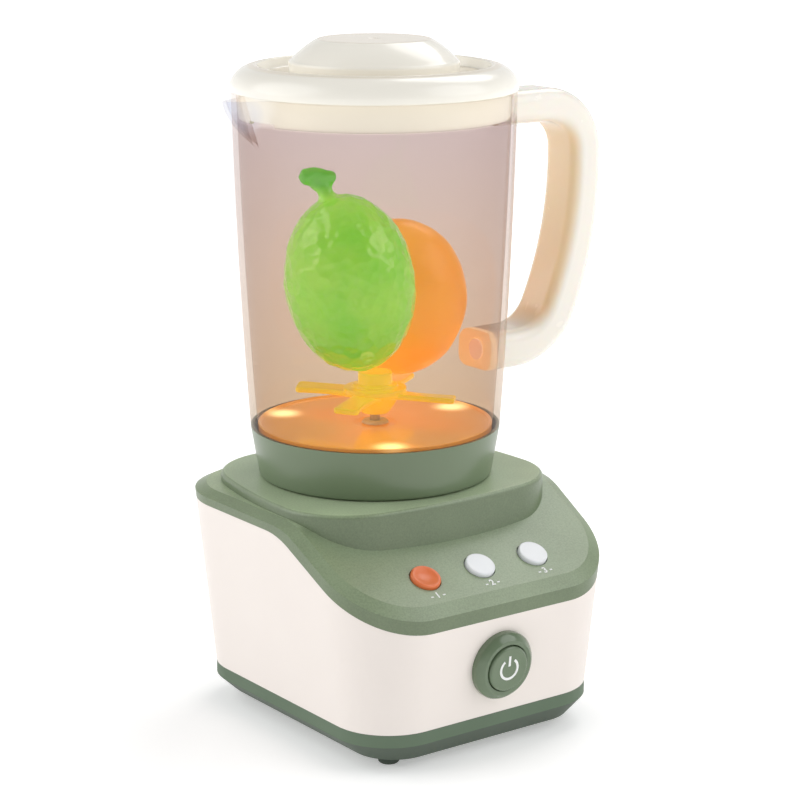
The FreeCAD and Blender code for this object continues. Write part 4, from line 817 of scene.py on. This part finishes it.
def makePanelButtons():
    p = panelStyle
    radius, rise = p["radius"], p["rise"]
    flatTop = [(radius - 1.0, rise), (0, rise)]
    dishedTop = [(radius - 0.75, rise), (radius - 1.5, rise - 0.1, -14.0), (0, rise - 0.75)]
    buttons = (("orange_button", dishedTop, "orange_plastic", "orangeButton"),
               ("middle_button", flatTop, "white_plastic", "whiteButton"),
               ("right_button", flatTop, "white_plastic", "whiteButton"))
    y, z = onPanel(p["buttonY"])
    for i, (node, top, slotName, finish) in enumerate(buttons):
        button = turned(node.replace("_b", "B"), [
            (0, -6.2), (2.2, -6.2), (2.2, -3.8), (7.6, -3.8), (7.6, -2.65), (radius, -2.65),
            (radius, rise - 0.75, 0.75), *top,
        ], segments=96, edge=0.2)
        place(button, baseMiddle.x + (i - 1) * p["pitch"], y, z, tilt=p["angle"])
        dress(button, node, slotName, finishes[finish], node)


numberStyle = {"size": 4.0, "thick": 0.05, "swell": 0.1, "below": 9.3, "lift": 0.03, "shift": -0.25}


def makePanelNumbers():
    n, p = numberStyle, panelStyle
    y, z = onPanel(p["buttonY"] - n["below"], n["lift"])
    for i in range(3):
        putDown()
        bpy.ops.object.text_add()
        mark = bpy.context.object
        mark.name = f"buttonNumber{i + 1}"
        mark.data.body = f"- {i + 1} -"
        mark.data.size = n["size"] * mm
        mark.data.align_x = "CENTER"
        mark.data.extrude = n["thick"] * mm
        mark.data.offset = n["swell"] * mm
        pickUp(mark)
        bpy.ops.object.convert(target="MESH")
        place(mark, baseMiddle.x + (i - 1) * p["pitch"] + n["shift"], y, z, tilt=p["angle"])
        dress(mark, "base", "white_plastic", finishes["paint"])


powerStyle = {"y": -65.67, "z": 36.5, "lean": 96.05, "radius": 9.1, "rise": 6.0, "bore": 9.35, "bezel": 13.65,
              "signInner": 3.5, "signOuter": 4.5, "signFrom": 55.0, "signSweep": 290.0}


def placePower(piece):
    place(piece, baseMiddle.x, powerStyle["y"], powerStyle["z"], tilt=powerStyle["lean"])


def makePowerButton():
    w = powerStyle
    bezel = turned("powerBezel", [
        (w["bore"], -4.6), (10.5, -4.6), (10.5, 0.02), (w["bezel"], 0.02), (w["bezel"], 2.2, 6.5),
        (11.4, 4.8, 0.6), (10.7, 4.97), (9.6, 4.9), (w["bore"], 4.6),
    ], segments=128, edge=0.15)
    placePower(bezel)
    dress(bezel, "base", "sage_gloss", finishes["sageGloss"], "power_bezel")
    radius, rise = w["radius"], w["rise"]
    face = rise - 0.3
    button = turned("powerButton", [
        (0, -9), (3, -9), (3, -6.6), (10.2, -6.6), (10.2, -5.1), (radius, -5.1), (radius, rise - 1.0, 1.0),
        (radius - 1.0, rise - 0.02), (radius - 1.6, rise - 0.08, -60.0), (0, face),
    ], segments=128, edge=0.1)
    placePower(button)
    dress(button, "power_button", "sage_gloss", finishes["sageGloss"], "power_button")
    inner, outer, low, high = w["signInner"], w["signOuter"], face - 0.1, face + 0.12
    ring = turned("powerSignRing", [(inner, low), (outer, low), (outer, high), (inner, high)],
                  segments=64, edge=0, sweep=w["signSweep"], start=w["signFrom"])
    bar = slab("powerSignBar", [(-0.5, 1.2), (0.5, 1.2), (0.5, 5.4), (-0.5, 5.4)], 0.22)
    place(bar, z=low)
    for sign in (ring, bar):
        placePower(sign)
        dress(sign, "power_button", "white_plastic", finishes["paint"])


# play fruit: two balls side by side in the jar, turned with it

fruitStyle = {
    "turn": -36.3, "skin": 0.55,
    "green": {"size": (26.0, 25.9, 35.4), "lean": -8, "side": -9.4, "back": -22.7, "z": 176.2},
    "orange": {"size": (27.6, 23.6, 32.2), "side": 9.8, "back": 22.9, "z": 161.9},
}


def placeFruit(piece, fruit):
    turn = math.radians(fruitStyle["turn"])
    x = jarAxis.x + fruit["side"] * math.cos(turn) - fruit["back"] * math.sin(turn)
    y = jarAxis.y + fruit["side"] * math.sin(turn) + fruit["back"] * math.cos(turn)
    place(piece, x, y, fruit["z"], turn=fruitStyle["turn"])


def dent(piece, kind, size, depth, name="rindWrinkles"):
    texture = bpy.data.textures.new(name, kind)
    texture.noise_scale = size * mm
    pickUp(piece)
    press = piece.modifiers.new(name, "DISPLACE")
    press.texture = texture
    press.strength = depth * mm
    press.mid_level = 1.0
    bpy.ops.object.modifier_apply(modifier=press.name)


def makeFruitBall(name, size):
    putDown()
    bpy.ops.mesh.primitive_uv_sphere_add(segments=160, ring_count=120, radius=1.0)
    ball = bpy.context.object
    ball.name = name
    ball.scale = Vector(size) * mm
    bpy.ops.object.transform_apply(location=True, rotation=True, scale=True)
    return ball


# the green rind turns darker towards its crown, where the stalk is, and takes painted shade towards its foot:
# heights from the ball's middle
rindStyle = {"deep": (0.10, 0.58, 0.012), "crownLow": 33.5, "crownHigh": 38.5, "footHigh": -6, "footLow": -34,
             "footShadeShare": 0.62}


def makeGreenRind():
    r, middle = rindStyle, fruitStyle["green"]["z"]
    material, tree, shader, vector = startMaterial("greenRind")
    drift = twoTone(tree, vector, (0.23, 0.86, 0.025), (0.36, 0.92, 0.06), 45.0)
    marks = useGroup(tree, handlingMarksAndEdgeGlint, vector, Roughness=0.26, Spread=0.16, Scale=80.0)
    height = axisOf(tree, vector, "Z")
    crown = ramp(tree, height, (middle + r["crownLow"]) * mm, (middle + r["crownHigh"]) * mm)
    # painted shade: the rind darkens towards the foot
    foot = ramp(tree, height, (middle + r["footHigh"]) * mm, (middle + r["footLow"]) * mm, 0.0, r["footShadeShare"])
    rind = blend(tree, compute(tree, "MAXIMUM", crown, foot), drift, (*r["deep"], 1))
    addGrain(tree, shader, vector, 0.4, 0.4, Grain_Scale=260.0, Wave_Scale=120.0, Wave_Share=0.5)
    # painted light: the rind glows with its own colour though it is no lamp
    fill(tree, shader, Base_Color=rind, Roughness=marks.outputs["Roughness"], Emission_Color=rind,
         Emission_Strength=0.4, Coat_Weight=1.0, Coat_Roughness=0.16, Coat_IOR=1.9, Subsurface_Weight=0.15,
         Subsurface_Radius=(0.4, 1.0, 0.1), Subsurface_Scale=2 * mm)
    return material


def makeOrangeRind():
    material, tree, shader, vector = startMaterial("orangeRind")
    drift = twoTone(tree, vector, (0.98, 0.40, 0.03), (1.0, 0.46, 0.045), 30.0)
    marks = useGroup(tree, handlingMarksAndEdgeGlint, vector, Roughness=0.34, Spread=0.12, Scale=60.0)
    stretch = addNode(tree, "ShaderNodeMapping", Vector=vector, Scale=(1.0, 1.0, 8.0))
    addGrain(tree, shader, stretch.outputs["Vector"], 0.5, 0.3, Grain_Scale=110.0, Wave_Scale=50.0,
             Wave_Share=0.3)
    # painted light: the rind glows with its own colour though it is no lamp
    fill(tree, shader, Base_Color=drift, Roughness=marks.outputs["Roughness"], Emission_Color=drift,
         Emission_Strength=0.45, Coat_Weight=0.5, Coat_Roughness=0.3, Subsurface_Weight=0.15,
         Subsurface_Radius=(1.0, 0.4, 0.1), Subsurface_Scale=2 * mm)
    return material


# lumps that melt together into the bent stalk: size, side, height and lean
stalkStyle = {
    "neck": ((4.1, 3.8, 9.0), -8.4, 32.9, -19.0),
    "bar": ((7.6, 3.3, 3.6), -12.4, 42.0, 9.0),
    "leftEnd": ((4.2, 3.6, 4.0), -16.2, 41.2, 20.0),
    "rightEnd": ((3.7, 3.2, 3.7), -7.6, 41.2, 0.0),
    "flank": ((6.2, 3.3, 3.2), -12.8, 38.6, 38.0),
}


def makeGreenFruit():
    f = fruitStyle["green"]
    green = makeFruitBall("greenFruit", f["size"])
    place(green, lean=f["lean"])
    lumps = []
    for name, (size, side, high, lean) in stalkStyle.items():
        lump = makeFruitBall(name, size)
        place(lump, side, 0, high, lean=lean)
        lumps.append(lump)
    pickUp(green)
    for lump in lumps:
        lump.select_set(True)
    bpy.ops.object.join()
    melt = green.modifiers.new("oneSkin", "REMESH")
    melt.mode = "VOXEL"
    melt.voxel_size = fruitStyle["skin"] * mm
    bpy.ops.object.modifier_apply(modifier=melt.name)
    soften = green.modifiers.new("softJoins", "SMOOTH")
    soften.factor, soften.iterations = 0.6, 10
    bpy.ops.object.modifier_apply(modifier=soften.name)
    dent(green, "CLOUDS", 10.0, 0.9)
    dent(green, "VORONOI", 4.2, 0.7, name="rindCreases")
    smooth(green, 60)
    placeFruit(green, f)
    dress(green, "green_fruit", "green_play", makeGreenRind(), "green_fruit")


def makeOrangeFruit():
    f = fruitStyle["orange"]
    orange = makeFruitBall("orangeFruit", f["size"])
    dent(orange, "CLOUDS", 14.0, 0.8)
    smooth(orange, 60)
    placeFruit(orange, f)
    dress(orange, "orange_fruit", "orange_play", makeOrangeRind(), "orange_fruit")


# inner parts keep their CAD shapes and get their finishes

innerFinishes = {
    "steel": ("motor", "motor_shaft", "drive_shaft", "rotor_shaft", "case_screws", "door_screw", "frame_screws",
              "circuit_board_screws", "power_board_screws", "light_screws"),
    "natural": ("gear_frame", "drive_gear", "motor_pinion", "drive_bush", "rotor_bush", "drive_coupler",
                "driven_coupler"),
    "nickel": ("battery_contacts",),
    "cell": ("batteries",),
    "board": ("circuit_board", "power_board", "light_board"),
    "black": ("speaker", "tact_switches", "power_switch", "board_parts"),
    "lens": ("light_lenses", "lights"),
}


def finishInnerParts():
    finishes["lens"] = makeLensGlow()
    for finish, nodes in innerFinishes.items():
        for node in nodes:
            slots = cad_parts[node].data.materials
            slots.clear()
            slots.append(finishes[finish])


# studio

cameraStyle = {"place": (-568.15, -746.30, 353.73), "look": (0.57562, 0.78247, -0.23750), "lens": 108.66,
               "sensor": 36.0, "near": 0.01, "far": 50}
studioStyle = {
    "sky": {"low": 0.05, "high": 0.55, "lowGlow": 0.95, "highGlow": 0.26},
    "paper": {"size": 30.0, "near": 0.4, "far": 2.5, "nearGlow": 0.34, "farGlow": 0.85},
    "aimZ": 0.12,
    "lamps": {
        "leftBox": {"place": (-1.17, 0.78, 1.13), "size": 1.7, "power": 12.5},
        "rightBox": {"place": (0.94, -0.99, 1.22), "size": 1.5, "power": 10.5},
        "backBox": {"place": (0.86, 0.37, 1.30), "size": 0.9, "power": 6.0},
    },
}


def makePaper():
    p = studioStyle["paper"]
    putDown()
    bpy.ops.mesh.primitive_plane_add(size=p["size"])
    paper = bpy.context.object
    paper.name = "studioFloor"
    material, tree, shader, vector = startMaterial("paperFloor")
    drift = twoTone(tree, vector, (0.93, 0.93, 0.93), (0.92, 0.92, 0.92), 2.0)
    away = computeVector(tree, "LENGTH", vector, result="Value")
    glow = ramp(tree, away, p["near"], p["far"], p["nearGlow"], p["farGlow"])
    fill(tree, shader, Base_Color=drift, Roughness=0.9, Emission_Color=glow, Emission_Strength=1.0)
    paper.data.materials.append(material)


def makeSky():
    s = studioStyle["sky"]
    scene.world = bpy.data.worlds.new("studioSky")
    scene.world.use_nodes = True
    sky = scene.world.node_tree
    heading = sky.nodes.new("ShaderNodeTexCoord").outputs["Generated"]
    fall = ramp(sky, axisOf(sky, heading, "Z"), s["low"], s["high"], s["lowGlow"], s["highGlow"])
    fill(sky, sky.nodes["Background"], Color=(1, 1, 1, 1), Strength=fall)


def makeLamps():
    aim = Vector((jarAxis.x * mm, jarAxis.y * mm, studioStyle["aimZ"]))
    for name, lamp in studioStyle["lamps"].items():
        putDown()
        bpy.ops.object.light_add(type="AREA", location=lamp["place"])
        light = bpy.context.object
        light.name = name
        light.data.shape = "DISK"
        light.data.size = lamp["size"]
        light.data.energy = lamp["power"]
        light.rotation_euler = (aim - light.location).to_track_quat("-Z", "Y").to_euler()


def makeCamera():
    c = cameraStyle
    putDown()
    bpy.ops.object.camera_add(location=Vector(c["place"]) * mm)
    camera = bpy.context.object
    camera.name = "studioCamera"
    camera.rotation_euler = Vector(c["look"]).to_track_quat("-Z", "Y").to_euler()
    camera.data.lens = c["lens"]
    camera.data.sensor_width = c["sensor"]
    camera.data.clip_start, camera.data.clip_end = c["near"], c["far"]
    scene.camera = camera
    scene.view_settings.view_transform = "Standard"


makePaper()
makeSky()
makeLamps()
makeCamera()
print("studio made")
makeHousing()
makeFeet()
print("housing made")
makePanelButtons()
makePanelNumbers()
makePowerButton()
print("buttons made")
makeJar()
makeHandleStuds()
makeCollar()
makeFloor()
makeHandle()
print("jar made")
makeLid()
makeLidCap()
makeRotor()
makeGreenFruit()
makeOrangeFruit()
finishInnerParts()
print("lid, rotor and fruit made")
putDown()
